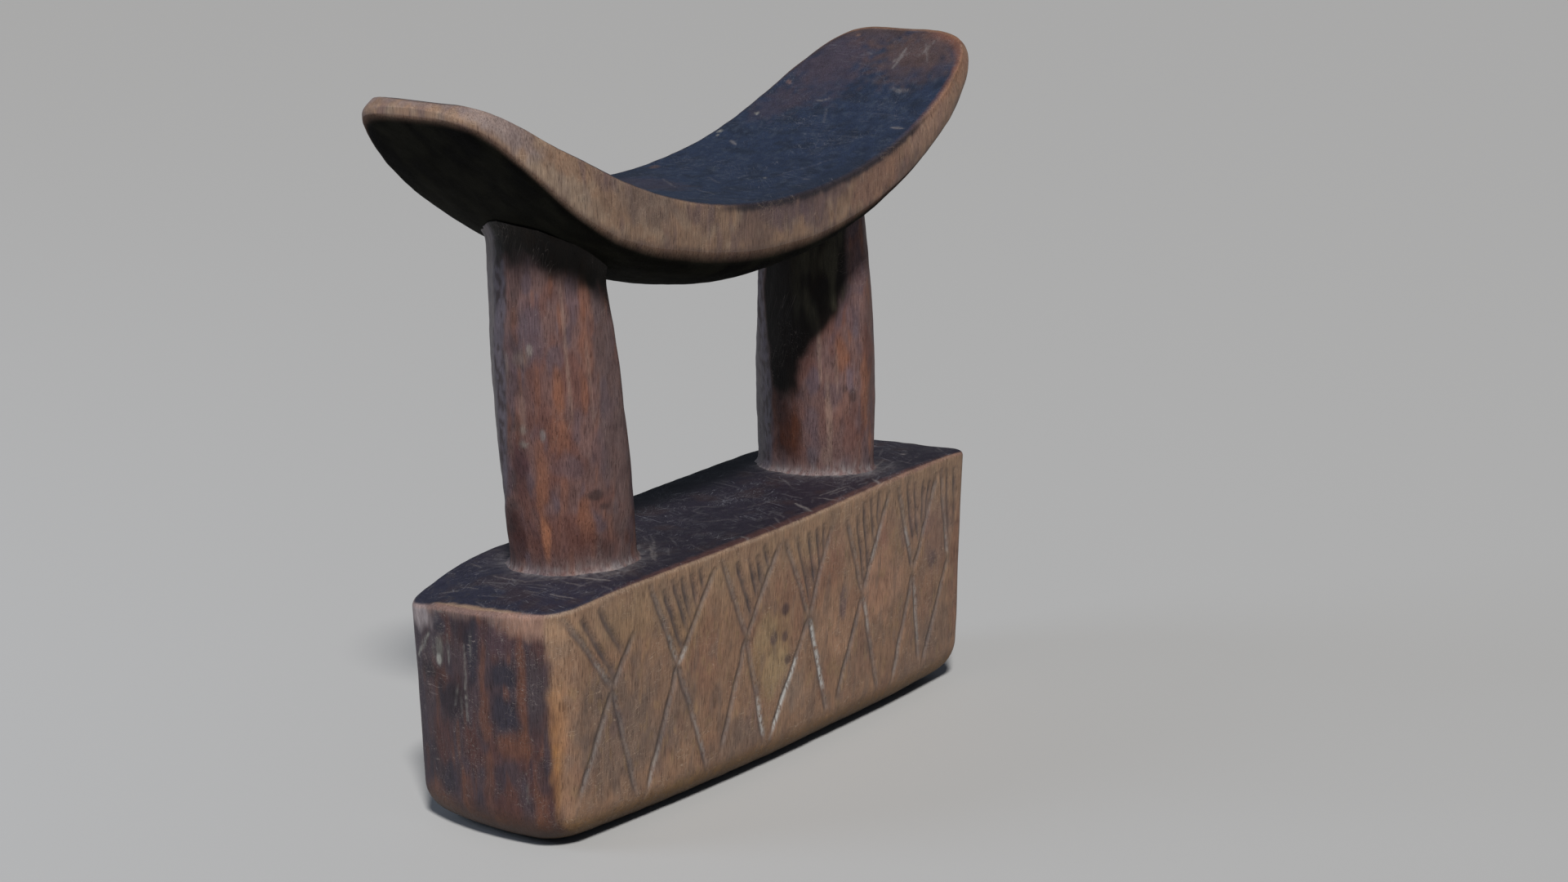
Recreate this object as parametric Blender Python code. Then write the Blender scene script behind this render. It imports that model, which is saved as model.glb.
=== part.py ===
"""A carved wooden headrest: a heavy base block, two stout posts and a curved head plate.

Metres, +Z up. X runs along the headrest, -Y is the decorated front, and the origin is under the
middle of the whole object's box. Each post has an oval tenon at both ends, which sits in a blind
socket in the base block below it and in the head plate above it.
"""

import math
from collections import namedtuple

import bmesh
import bpy
from mathutils import Vector

# Fit between pieces
GAP = 0.0003
SOCKET_SPARE_DEPTH = 0.0006

# Base block, measured about its own centre
BASE_CENTRE = Vector((0.0014, -0.00045, 0.0))
BASE_HALF_LENGTH = 0.0875
BASE_HALF_WIDTH = 0.0282
BASE_HEIGHT = 0.065
BASE_RISE_TO_RIGHT = 0.0026
BASE_TOP_HOLLOW = 0.0021
BASE_TOP_END_DROP = 0.0037
BASE_TOP_BACK_DROP = 0.0020
BASE_WAIST = 0.0036
BASE_SIDE_TAPER = 0.0029
BASE_CORNER_RADIUS = 0.0058
BASE_LEFT_END_CROWN = 0.0051
BASE_RIGHT_END_CROWN = 0.0005
BASE_BOTTOM_RADIUS = 0.0104
BASE_TOP_EDGE_RADIUS = 0.0012
BASE_ROCKER = 0.0011
BASE_FLAT_SHARE = 0.62

# Head plate, measured about its own centre
PLATE_CENTRE = Vector((0.0002, 0.00045, 0.0))
PLATE_HALF_LENGTH = 0.0953
PLATE_HALF_WIDTH = 0.0282
PLATE_CORNER_POWER = 4.0
PLATE_LOW_Z = 0.1468
PLATE_LEFT_RISE = 0.0340
PLATE_RIGHT_RISE = 0.0310
PLATE_LEFT_POWER = 2.3
PLATE_RIGHT_POWER = 2.0
PLATE_MIDDLE_THICKNESS = 0.0130
PLATE_END_THICKNESS = 0.0060
PLATE_KEEL = 0.0078
PLATE_EDGE_RADIUS = 0.0013

# Posts, measured about the base block's centre: (x, y) half sizes and centres at foot and top
Post = namedtuple("Post", "name foot_at foot_half top_at top_half")
POSTS = (
    Post("left_post", (-0.0470, 0.0019), (0.0134, 0.0156), (-0.0574, 0.0006), (0.0114, 0.0142)),
    Post("right_post", (0.0511, 0.0007), (0.0090, 0.0173), (0.0484, 0.0006), (0.0113, 0.0135)),
)
POST_BELLY = 0.0017
POST_POINTS = 28
POST_STEPS = 7
TENON_SHARE = 0.58
FOOT_TENON_LENGTH = 0.014
TOP_TENON_LENGTH = 0.007

# Incised crosses on the front: the knife lines of one cross, from its crossing point
GROOVE_HALF_WIDTH = 0.0007
GROOVE_DEPTH = 0.0009
GROOVE_RUN_OUT = 0.0018
CUTTER_PROUD = 0.0010
CROSSING_Z = 0.0375
ARM_TOP_Z = 0.0595
LEG_FOOT_Z = 0.0095
# Crossing x, then how far the left arm, right arm, left leg and right leg spread from it. The last
# cross meets the block's corner, so it has no right-hand lines.
Cross = namedtuple("Cross", "x left_arm right_arm left_leg right_leg")
CROSSES = (
    Cross(-0.0650, 0.0160, 0.0080, 0.0110, 0.0090),
    Cross(-0.0415, 0.0105, 0.0140, 0.0100, 0.0120),
    Cross(-0.0150, 0.0110, 0.0115, 0.0085, 0.0085),
    Cross(0.0110, 0.0100, 0.0070, 0.0145, 0.0100),
    Cross(0.0355, 0.0085, 0.0100, 0.0105, 0.0095),
    Cross(0.0595, 0.0090, 0.0105, 0.0080, 0.0055),
    Cross(0.0780, 0.0045, 0.0, 0.0095, 0.0),
)
HATCH_LINES = 3
# How far up the right arm the last hatch line would end, as a share of the arm
HATCH_REACH = 0.9


def wood(name, colour, roughness):
    material = bpy.data.materials.new(name)
    material.use_nodes = True
    shader = material.node_tree.nodes["Principled BSDF"]
    shader.inputs["Base Color"].default_value = (*colour, 1.0)
    shader.inputs["Roughness"].default_value = roughness
    shader.inputs["Metallic"].default_value = 0.0
    return material


def loft(rings):
    """A closed bmesh through rings of equally many points, with a flat face over each end ring."""
    bm = bmesh.new()
    loops = [[bm.verts.new(point) for point in ring] for ring in rings]
    for lower, upper in zip(loops, loops[1:]):
        for i in range(len(lower)):
            j = (i + 1) % len(lower)
            bm.faces.new((lower[i], lower[j], upper[j], upper[i]))
    bm.faces.new(list(reversed(loops[0])))
    bm.faces.new(loops[-1])
    bmesh.ops.recalc_face_normals(bm, faces=bm.faces)
    return bm


def add_object(name, bm, material, location):
    mesh = bpy.data.meshes.new(name)
    bm.to_mesh(mesh)
    bm.free()
    mesh.shade_smooth()
    mesh.set_sharp_from_angle(angle=math.radians(35))
    obj = bpy.data.objects.new(name, mesh)
    obj.location = location
    if material:
        mesh.materials.append(material)
    bpy.context.scene.collection.objects.link(obj)
    return obj


def cut(obj, cutter, overlapping=False):
    """Takes the cutter's shape out of obj and leaves the cutter in the file as a wire helper."""
    cutter.hide_render = True
    cutter.display_type = "WIRE"
    modifier = obj.modifiers.new(f"cut_{cutter.name}", "BOOLEAN")
    modifier.operation = "DIFFERENCE"
    modifier.solver = "EXACT"
    modifier.use_self = overlapping
    modifier.object = cutter


def mirrored_quadrant(quadrant):
    """The closed outline whose quarter runs from the front's middle to the right end's middle."""
    back = [(x, -y) for x, y in reversed(quadrant[:-1])]
    right = quadrant + back
    left = [(-x, y) for x, y in reversed(right[1:-1])]
    return right + left


def scaled(outline, share):
    return [(x * share, y * share) for x, y in outline]


def steps(count, low=0.0, high=1.0):
    return [low + (high - low) * i / count for i in range(count + 1)]


# Base block


def base_top_z(x, y):
    """Height of the top face: a shallow hollow between the posts, dropping to the ends and the back."""
    u = x / BASE_HALF_LENGTH
    return (
        BASE_HEIGHT
        + BASE_RISE_TO_RIGHT * u
        - BASE_TOP_HOLLOW * (1 - u * u)
        - BASE_TOP_END_DROP * u**4
        - BASE_TOP_BACK_DROP * y / BASE_HALF_WIDTH
    )


def base_outline(inset):
    """Plan of the block: waisted towards its ends, round at the corners, crowned on the end faces."""
    half_length = BASE_HALF_LENGTH - inset
    half_width = BASE_HALF_WIDTH - inset
    radius = BASE_CORNER_RADIUS - 0.3 * inset
    side = [(x, -half_width) for x in steps(8, 0.0, half_length - radius)]
    corner = [
        (
            half_length - radius + radius * math.sin(a),
            -half_width + radius - radius * math.cos(a),
        )
        for a in steps(4, 0.0, math.pi / 2)[1:]
    ]
    end = [(half_length, y) for y in steps(3, -(half_width - radius), 0.0)[1:]]
    outline = []
    for x, y in mirrored_quadrant(side + corner + end):
        u = x / BASE_HALF_LENGTH
        v = y / BASE_HALF_WIDTH
        crown = BASE_RIGHT_END_CROWN if u > 0 else BASE_LEFT_END_CROWN
        waist = BASE_WAIST / BASE_HALF_WIDTH * u * u
        outline.append((x - crown * v * v * u, y * (1 - waist)))
    return outline


def base_side_inset(z):
    return BASE_SIDE_TAPER * (1 - z / BASE_HEIGHT)


def base_face_y(x, z):
    """Y of the front face at a place on it."""
    u = x / BASE_HALF_LENGTH
    half_width = BASE_HALF_WIDTH - base_side_inset(z)
    return -half_width * (1 - BASE_WAIST / BASE_HALF_WIDTH * u * u)


def base_rings():
    inner = base_outline(BASE_BOTTOM_RADIUS + base_side_inset(0.0))
    rings = [[(x, y, 0.0) for x, y in scaled(inner, BASE_FLAT_SHARE)]]
    for a in steps(4, 0.0, math.pi / 2):
        z = BASE_BOTTOM_RADIUS * (1 - math.cos(a))
        inset = BASE_BOTTOM_RADIUS * (1 - math.sin(a)) + base_side_inset(z)
        lift = [BASE_ROCKER * abs(x / BASE_HALF_LENGTH) ** 3 for x, _ in base_outline(inset)]
        rings.append([(x, y, z + up) for (x, y), up in zip(base_outline(inset), lift)])
    for share in (0.35, 0.7):
        outline = base_outline(BASE_SIDE_TAPER * (1 - share))
        rings.append([(x, y, share * base_top_z(x, y)) for x, y in outline])
    for a in steps(2, 0.0, math.pi / 2):
        outline = base_outline(BASE_TOP_EDGE_RADIUS * (1 - math.cos(a)))
        drop = BASE_TOP_EDGE_RADIUS * (1 - math.sin(a))
        rings.append([(x, y, base_top_z(x, y) - drop) for x, y in outline])
    top = base_outline(BASE_TOP_EDGE_RADIUS)
    for share in (0.85, 0.65, 0.45, 0.25, 0.1):
        rings.append([(x, y, base_top_z(x, y)) for x, y in scaled(top, share)])
    return rings


def knife_lines():
    """Start and end (x, z) of each incised line: crosses, whose upper halves are hatched."""
    lines = []
    for cross in CROSSES:
        crossing = (cross.x, CROSSING_Z)
        left = (cross.x - cross.left_arm, ARM_TOP_Z)
        lines.append((left, crossing))
        lines.append((crossing, (cross.x - cross.left_leg, LEG_FOOT_Z)))
        if not cross.right_arm:
            continue
        right = (cross.x + cross.right_arm, ARM_TOP_Z)
        lines.append((right, crossing))
        lines.append((crossing, (cross.x + cross.right_leg, LEG_FOOT_Z)))
        for share in steps(HATCH_LINES + 1)[1:-1]:
            start = (left[0] + (right[0] - left[0]) * share, ARM_TOP_Z)
            along_arm = share * HATCH_REACH
            end = (
                crossing[0] + (right[0] - crossing[0]) * along_arm,
                crossing[1] + (right[1] - crossing[1]) * along_arm,
            )
            lines.append((start, end))
    return lines


def knife_cutter_mesh():
    """One wedge per knife line, with its edge inside the face and rising to it at both ends."""
    bm = bmesh.new()
    widening = (GROOVE_DEPTH + CUTTER_PROUD) / GROOVE_DEPTH
    for start, end in knife_lines():
        a = Vector((start[0], base_face_y(*start), start[1]))
        b = Vector((end[0], base_face_y(*end), end[1]))
        along = (b - a).normalized()
        out = Vector((0.0, -1.0, 0.0))
        side = along.cross(out).normalized() * GROOVE_HALF_WIDTH * widening
        edge_a = a + along * GROOVE_RUN_OUT - out * GROOVE_DEPTH
        edge_b = b - along * GROOVE_RUN_OUT - out * GROOVE_DEPTH
        proud = out * CUTTER_PROUD
        corners = (a + side + proud, a - side + proud, edge_a, b + side + proud, b - side + proud, edge_b)
        v = [bm.verts.new(corner) for corner in corners]
        for face in ((0, 1, 2), (3, 5, 4), (0, 3, 4, 1), (1, 4, 5, 2), (2, 5, 3, 0)):
            bm.faces.new([v[i] for i in face])
    bmesh.ops.recalc_face_normals(bm, faces=bm.faces)
    return bm


def make_base_block():
    tan_wood = wood("worn_tan_wood", (0.30, 0.165, 0.09), 0.55)
    block = add_object("base_block", loft(base_rings()), tan_wood, BASE_CENTRE)
    for post in POSTS:
        floor = foot_tenon_z(post) - SOCKET_SPARE_DEPTH
        cut(block, socket_cutter(post, "foot", floor, BASE_HEIGHT + 0.01))
    knife = add_object("incised_cross_cutter", knife_cutter_mesh(), None, BASE_CENTRE)
    cut(block, knife, overlapping=True)


# Head plate


def plate_top(x):
    """Height and slope of the cradle's centre line."""
    u = x / PLATE_HALF_LENGTH
    rise, power = (PLATE_RIGHT_RISE, PLATE_RIGHT_POWER) if u > 0 else (PLATE_LEFT_RISE, PLATE_LEFT_POWER)
    z = PLATE_LOW_Z + rise * abs(u) ** power
    slope = rise * power * abs(u) ** (power - 1) / PLATE_HALF_LENGTH
    return z, math.copysign(slope, u)


def plate_point(x, y, depth):
    """The point a given depth below the cradle's surface, square to it."""
    z, slope = plate_top(x)
    length = math.hypot(1.0, slope)
    return (x + depth * slope / length, y, z - depth / length)


def plate_edge_thickness(x):
    u = x / PLATE_HALF_LENGTH
    return PLATE_END_THICKNESS + (PLATE_MIDDLE_THICKNESS - PLATE_END_THICKNESS) * (1 - u * u)


def plate_full_depth(x, y):
    """Thickness with the rounded keel that runs under the middle of the plate."""
    u = x / PLATE_HALF_LENGTH
    across = min(1.0, abs(y) / PLATE_HALF_WIDTH)
    return plate_edge_thickness(x) + PLATE_KEEL * math.sqrt(1 - across * across) * (1 - u * u)


def plate_under_z(x, y):
    """Height of the underside straight below a place in plan, found by closing in on it."""
    top_x = x
    for _ in range(12):
        top_x += x - plate_point(top_x, y, plate_full_depth(top_x, y))[0]
    return plate_point(top_x, y, plate_full_depth(top_x, y))[2]


def plate_outline():
    """Plan of the plate: a rectangle with full, soft corners."""
    power = PLATE_CORNER_POWER
    middle = 0.5 ** (1 / power)
    along = [(u, -((1 - u**power) ** (1 / power))) for u in steps(8, 0.0, middle)]
    end = [((1 - v**power) ** (1 / power), -v) for v in steps(5, middle, 0.0)[1:]]
    return [(x * PLATE_HALF_LENGTH, y * PLATE_HALF_WIDTH) for x, y in mirrored_quadrant(along + end)]


def plate_rings():
    outline = plate_outline()
    edge = 1 - PLATE_EDGE_RADIUS / PLATE_HALF_WIDTH
    rings = []
    for share in (0.1, 0.28, 0.46, 0.64, 0.82, edge):
        rings.append([plate_point(x, y, 0.0) for x, y in scaled(outline, share)])
    rings.append([plate_point(x, y, PLATE_EDGE_RADIUS) for x, y in outline])
    rings.append([plate_point(x, y, plate_edge_thickness(x) - PLATE_EDGE_RADIUS) for x, y in outline])
    for share in (edge, 0.82, 0.64, 0.46, 0.28, 0.1):
        rings.append([plate_point(x, y, plate_full_depth(x, y)) for x, y in scaled(outline, share)])
    return rings


def make_head_plate():
    dark_wood = wood("dark_handled_wood", (0.045, 0.045, 0.06), 0.45)
    plate = add_object("head_plate", loft(plate_rings()), dark_wood, PLATE_CENTRE)
    for post in POSTS:
        ceiling = top_tenon_z(post) + SOCKET_SPARE_DEPTH
        cut(plate, socket_cutter(post, "top", ceiling, PLATE_LOW_Z - 0.03))


# Posts


def oval(centre, half, share=1.0, grow=0.0):
    ring = []
    for i in range(POST_POINTS):
        angle = 2 * math.pi * i / POST_POINTS
        x = centre[0] + (half[0] * share + grow) * math.cos(angle)
        y = centre[1] + (half[1] * share + grow) * math.sin(angle)
        ring.append((x, y))
    return ring


def under_plate_z(x, y):
    """plate_under_z for a place measured about the base block's centre."""
    shift = BASE_CENTRE - PLATE_CENTRE
    return plate_under_z(x + shift.x, y + shift.y)


def foot_tenon_z(post):
    return base_top_z(*post.foot_at) - FOOT_TENON_LENGTH


def top_tenon_z(post):
    return under_plate_z(*post.top_at) + TOP_TENON_LENGTH


def socket_cutter(post, end, closed_z, open_z):
    """An oval prism, one gap larger than the tenon all round, from the socket's end to the open air."""
    at, half = (post.foot_at, post.foot_half) if end == "foot" else (post.top_at, post.top_half)
    outline = oval(at, half, TENON_SHARE, GAP)
    rings = [[(x, y, z) for x, y in outline] for z in sorted((closed_z, open_z))]
    return add_object(f"{post.name}_{end}_socket_cutter", loft(rings), None, BASE_CENTRE)


def post_rings(post):
    foot_tenon = oval(post.foot_at, post.foot_half, TENON_SHARE)
    top_tenon = oval(post.top_at, post.top_half, TENON_SHARE)
    rings = [[(x, y, foot_tenon_z(post)) for x, y in foot_tenon]]
    rings.append([(x, y, base_top_z(x, y) + GAP) for x, y in foot_tenon])
    for w in steps(POST_STEPS):
        belly = POST_BELLY * 4 * w * (1 - w)
        at = [a * (1 - w) + b * w for a, b in zip(post.foot_at, post.top_at)]
        half = [a * (1 - w) + b * w for a, b in zip(post.foot_half, post.top_half)]
        ring = []
        for x, y in oval(at, half, 1.0, belly):
            low = base_top_z(x, y) + GAP
            high = under_plate_z(x, y) - GAP
            ring.append((x, y, low * (1 - w) + high * w))
        rings.append(ring)
    rings.append([(x, y, under_plate_z(x, y) - GAP) for x, y in top_tenon])
    rings.append([(x, y, top_tenon_z(post)) for x, y in top_tenon])
    return rings


def make_posts():
    red_wood = wood("red_brown_wood", (0.16, 0.06, 0.04), 0.5)
    for post in POSTS:
        add_object(post.name, loft(post_rings(post)), red_wood, BASE_CENTRE)


for old in list(bpy.data.objects):
    bpy.data.objects.remove(old, do_unlink=True)

make_base_block()
make_posts()
make_head_plate()
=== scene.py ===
import math

import bpy
import numpy as np
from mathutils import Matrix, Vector


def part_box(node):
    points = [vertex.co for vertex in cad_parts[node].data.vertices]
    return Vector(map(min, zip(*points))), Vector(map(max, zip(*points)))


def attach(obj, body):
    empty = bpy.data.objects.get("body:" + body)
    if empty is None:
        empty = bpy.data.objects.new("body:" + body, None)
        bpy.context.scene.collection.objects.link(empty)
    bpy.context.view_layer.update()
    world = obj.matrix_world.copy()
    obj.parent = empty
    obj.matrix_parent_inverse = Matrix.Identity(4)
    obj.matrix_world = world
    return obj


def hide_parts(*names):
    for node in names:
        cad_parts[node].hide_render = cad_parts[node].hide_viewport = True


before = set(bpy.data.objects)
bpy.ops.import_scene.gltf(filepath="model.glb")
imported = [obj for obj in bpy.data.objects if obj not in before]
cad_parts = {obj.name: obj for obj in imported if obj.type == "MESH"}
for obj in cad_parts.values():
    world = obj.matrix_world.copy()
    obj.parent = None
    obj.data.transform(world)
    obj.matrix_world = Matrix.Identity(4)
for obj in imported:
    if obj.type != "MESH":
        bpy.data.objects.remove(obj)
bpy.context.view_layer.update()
MM = 0.001

# The stage: a wide pale floor under plain, soft studio light. The warm key stands high at the left
# front, a cool rim light stands low behind the left end, and the room itself gives a faint cool glow.
# The camera looks down a little on the incised front and the left end of the block.
base_low, base_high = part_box("base_block")
base_middle = (base_low + base_high) / 2


LIGHTS_AIM_HEIGHT = 0.08


def make_floor():
    bpy.ops.mesh.primitive_plane_add(size=40.0, location=(0, 0, 0))
    floor = bpy.context.object
    floor.name = "floor"
    material = bpy.data.materials.new("pale_floor")
    material.use_nodes = True
    shader = material.node_tree.nodes["Principled BSDF"]
    shader.inputs["Base Color"].default_value = (0.33, 0.335, 0.34, 1)
    shader.inputs["Roughness"].default_value = 0.6
    shader.inputs["Specular IOR Level"].default_value = 0.2
    floor.data.materials.append(material)


def from_side(compass, height, distance):
    """A place seen from the object: degrees from +X towards +Y, degrees up, and metres away."""
    turn, tilt = math.radians(compass), math.radians(height)
    level = distance * math.cos(tilt)
    rise = LIGHTS_AIM_HEIGHT + distance * math.sin(tilt)
    return Vector((level * math.cos(turn), level * math.sin(turn), rise))


def studio_light(name, kind, place, power, colour, spread):
    lamp = bpy.data.lights.new(name, kind)
    lamp.energy = power
    lamp.color = colour
    if kind == "SUN":
        lamp.angle = spread
    else:
        lamp.shape = "DISK"
        lamp.size = spread
    stand = bpy.data.objects.new(name, lamp)
    stand.location = place
    look = Vector((0, 0, LIGHTS_AIM_HEIGHT)) - place
    stand.rotation_euler = look.to_track_quat("-Z", "Y").to_euler()
    bpy.context.scene.collection.objects.link(stand)


def make_camera(azimuth, pitch, distance, lens, aim):
    """A camera that looks along a heading, degrees from +Y towards +X, and dips by its pitch."""
    heading, dip = math.radians(azimuth), math.radians(pitch)
    look = Vector((math.sin(heading) * math.cos(dip), math.cos(heading) * math.cos(dip), -math.sin(dip)))
    data = bpy.data.cameras.new("camera")
    data.lens = lens
    data.sensor_width = 36.0
    camera = bpy.data.objects.new("camera", data)
    camera.location = aim - look * distance
    camera.rotation_euler = look.to_track_quat("-Z", "Y").to_euler()
    bpy.context.scene.collection.objects.link(camera)
    bpy.context.scene.camera = camera


make_floor()
world = bpy.data.worlds.new("soft_room")
world.use_nodes = True
world.node_tree.nodes["Background"].inputs["Color"].default_value = (0.72, 0.82, 1.0, 1)
world.node_tree.nodes["Background"].inputs["Strength"].default_value = 0.12
bpy.context.scene.world = world
bpy.context.scene.view_settings.view_transform = "Standard"
key_place = from_side(compass=222, height=50, distance=2.0)
rim_place = from_side(compass=140, height=24, distance=1.1)
studio_light("key_light", "SUN", key_place, power=4.9, colour=(1.0, 0.965, 0.92), spread=0.16)
studio_light("rim_light", "AREA", rim_place, power=3.6, colour=(0.74, 0.84, 1.0), spread=0.5)
camera_aim = Vector((base_middle.x + 0.0362, base_middle.y, 0.0745))
make_camera(azimuth=53.24, pitch=14.35, distance=0.8562, lens=74.68, aim=camera_aim)


# The base block: one deep billet of hardwood with its grain upright, adzed to a slightly waisted box,
# hollowed a little on top and rounded underneath. The maker cut seven hatched crosses into its front
# with a knife. Handling has left the top nearly black and worn the front and the edges back to tan.
BLOCK_SIDE_TAPER = 2.9
BLOCK_WAIST = 3.6
BLOCK_LEFT_CROWN = 5.1
BLOCK_RIGHT_CROWN = 0.5
BLOCK_CORNER = 6.4
BLOCK_BOTTOM_ROUND = 10.4
BLOCK_TOP_ROUND = 1.6
BLOCK_ROCKER = 1.1
BLOCK_HEIGHT = 65.0
# Where the bottom round ends and the top round starts, as shares of the way up
BOTTOM_ROUND_SHARE, TOP_ROUND_SHARE = 0.17, 0.95
block_half = ((base_high.x - base_low.x) / 2 / MM, (base_high.y - base_low.y) / 2 / MM)


def block_top_z(x, y):
    """Height of the block's top in millimetres above its foot, about the block's own centre."""
    u, v = x / block_half[0], y / block_half[1]
    level = BLOCK_HEIGHT + 2.6 * u - 2.1 * (1 - u * u) - 3.7 * u**4 - 2.0 * v + 0.5 * np.maximum(v, 0)
    level += 0.5 * np.exp(-(((x + 50) / 13) ** 2) - ((y - 24) / 8) ** 2)
    return level - 3.1 * np.exp(-(((np.abs(x) - 88) / 16) ** 2) - ((y - 26) / 12) ** 2)


def smooth_step(low, high, value):
    """Rises softly from 0 at low to 1 at high. With low above high it falls instead."""
    t = np.clip((value - low) / (high - low), 0.0, 1.0)
    return t * t * (3 - 2 * t)


def lumps(points, size, seed=0, layers=3):
    """A smooth uneven field, about -1 to 1, whose lumps are `size` millimetres across."""
    total, strength = np.zeros(len(points)), 1.0
    for layer in range(layers):
        q = points / (np.asarray(size, float) * 0.55**layer) + 31.7 * seed + 7.3 * layer
        cell = np.floor(q).astype(np.int64)
        f = q - cell
        w = f * f * f * (f * (f * 6 - 15) + 10)
        for corner in np.ndindex(2, 2, 2):
            key = (cell + corner).astype(np.uint64)
            h = key[:, 0] * np.uint64(73856093) ^ key[:, 1] * np.uint64(19349663)
            h = h ^ key[:, 2] * np.uint64(83492791)
            h = (h ^ (h >> np.uint64(13))) * np.uint64(1274126177)
            h = h ^ (h >> np.uint64(16))
            slope = np.stack([(h >> np.uint64(s)) & np.uint64(255) for s in (0, 8, 16)], -1) / 127.5 - 1.0
            share = np.prod(np.where(corner, w, 1 - w), axis=1)
            total += strength * share * ((f - corner) * slope).sum(1)
        strength *= 0.5
    return total * 1.4


def box_grid(counts):
    """Faces of a box cut into counts cells a side, and each corner's place from -1 to 1."""
    counts = np.array(counts)
    sheets = []
    for axis in range(3):
        across, up = (axis + 1) % 3, (axis + 2) % 3
        for side in (0, counts[axis]):
            i, j = np.meshgrid(np.arange(counts[across] + 1), np.arange(counts[up] + 1), indexing="ij")
            place = np.zeros((*i.shape, 3), int)
            place[..., axis], place[..., across], place[..., up] = side, i, j
            sheets.append(place if side else place[::-1])
    stride = counts.max() + 1
    codes = [(s[..., 0] * stride + s[..., 1]) * stride + s[..., 2] for s in sheets]
    known, number = np.unique(np.concatenate([c.ravel() for c in codes]), return_inverse=True)
    faces, start = [], 0
    for code in codes:
        n = number[start : start + code.size].reshape(code.shape)
        start += code.size
        faces.append(np.stack([n[:-1, :-1], n[1:, :-1], n[1:, 1:], n[:-1, 1:]], -1).reshape(-1, 4))
    places = np.stack([known // stride**2, known // stride % stride, known % stride], -1)
    return places * 2.0 / counts - 1.0, np.concatenate(faces)


def face_directions(points, faces):
    """The direction that the surface faces at each point."""
    a, b, c, d = (points[faces[:, i]] for i in range(4))
    out = np.cross(c - a, d - b)
    total = np.zeros_like(points)
    for i in range(4):
        np.add.at(total, faces[:, i], out)
    return total / np.linalg.norm(total, axis=1, keepdims=True)


def rounded_side(a, b, half_x, half_y, radius):
    """Where a place on the edge of the square -1..1 goes on a rectangle with round corners."""
    eighth = radius * math.pi / 4

    def run(t, half, other):
        s = np.abs(t) * (half - radius + eighth)
        turn = np.maximum(s - (half - radius), 0) / radius
        along = np.minimum(s, half - radius) + radius * np.sin(turn)
        return np.sign(t) * along, other - radius + radius * np.cos(turn)

    on_long = np.abs(b) >= np.abs(a)
    x1, y1 = run(a, half_x, half_y)
    y2, x2 = run(b, half_y, half_x)
    return np.where(on_long, x1, np.sign(a) * x2), np.where(on_long, np.sign(b) * y1, y2)


def block_shape(places):
    """The adzed block before any wear: every grid place in millimetres about the block's centre."""
    a, b, c = places.T
    ring = np.maximum(np.abs(a), np.abs(b))
    edge_a, edge_b = a / np.maximum(ring, 1e-6), b / np.maximum(ring, 1e-6)
    # The side profile from the bottom edge up: bottom round, straight side, top round
    t = (c + 1) / 2
    low_share, high_share = BOTTOM_ROUND_SHARE, TOP_ROUND_SHARE
    bottom_turn = np.clip(t / low_share, 0, 1) * math.pi / 2
    top_turn = np.clip((t - high_share) / (1 - high_share), 0, 1) * math.pi / 2
    straight = np.clip((t - low_share) / (high_share - low_share), 0, 1)
    rise = BLOCK_BOTTOM_ROUND * (1 - np.cos(bottom_turn))
    share = rise / BLOCK_HEIGHT
    share += straight * (1 - (BLOCK_BOTTOM_ROUND + BLOCK_TOP_ROUND) / BLOCK_HEIGHT)
    share += BLOCK_TOP_ROUND / BLOCK_HEIGHT * np.sin(top_turn)
    inset = BLOCK_BOTTOM_ROUND * (1 - np.sin(bottom_turn)) + BLOCK_TOP_ROUND * (1 - np.cos(top_turn))
    inset += BLOCK_SIDE_TAPER * (1 - share)
    front_left, back = (edge_a < 0) * (edge_b < 0), edge_b > 0
    front_right = (edge_a > 0) * (edge_b < 0)
    radius = BLOCK_CORNER + 2.5 * front_left * (1 - share) - 2.6 * back - 2.0 * front_right - 0.3 * inset
    radius = np.maximum(radius, 0.6)
    # The ends stand more upright than the sides
    end_inset = inset - BLOCK_SIDE_TAPER * (1 - share) * np.where(edge_a > 0, 1.1, 0.15)
    x, y = rounded_side(edge_a, edge_b, block_half[0] - end_inset, block_half[1] - inset, radius)
    x, y = x * ring, y * ring
    u, v = x / block_half[0], y / block_half[1]
    crown = np.where(u > 0, BLOCK_RIGHT_CROWN, BLOCK_LEFT_CROWN)
    x, y = x - crown * v * v * u, y * (1 - BLOCK_WAIST / block_half[1] * u * u)
    lift = BLOCK_ROCKER * np.abs(u) ** 3 * np.where(ring < 1, smooth_step(0.4, 1.0, ring), 1.0)
    z = share * block_top_z(x, y) + lift * (1 - share)
    return np.stack([x, y, z], -1)


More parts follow.
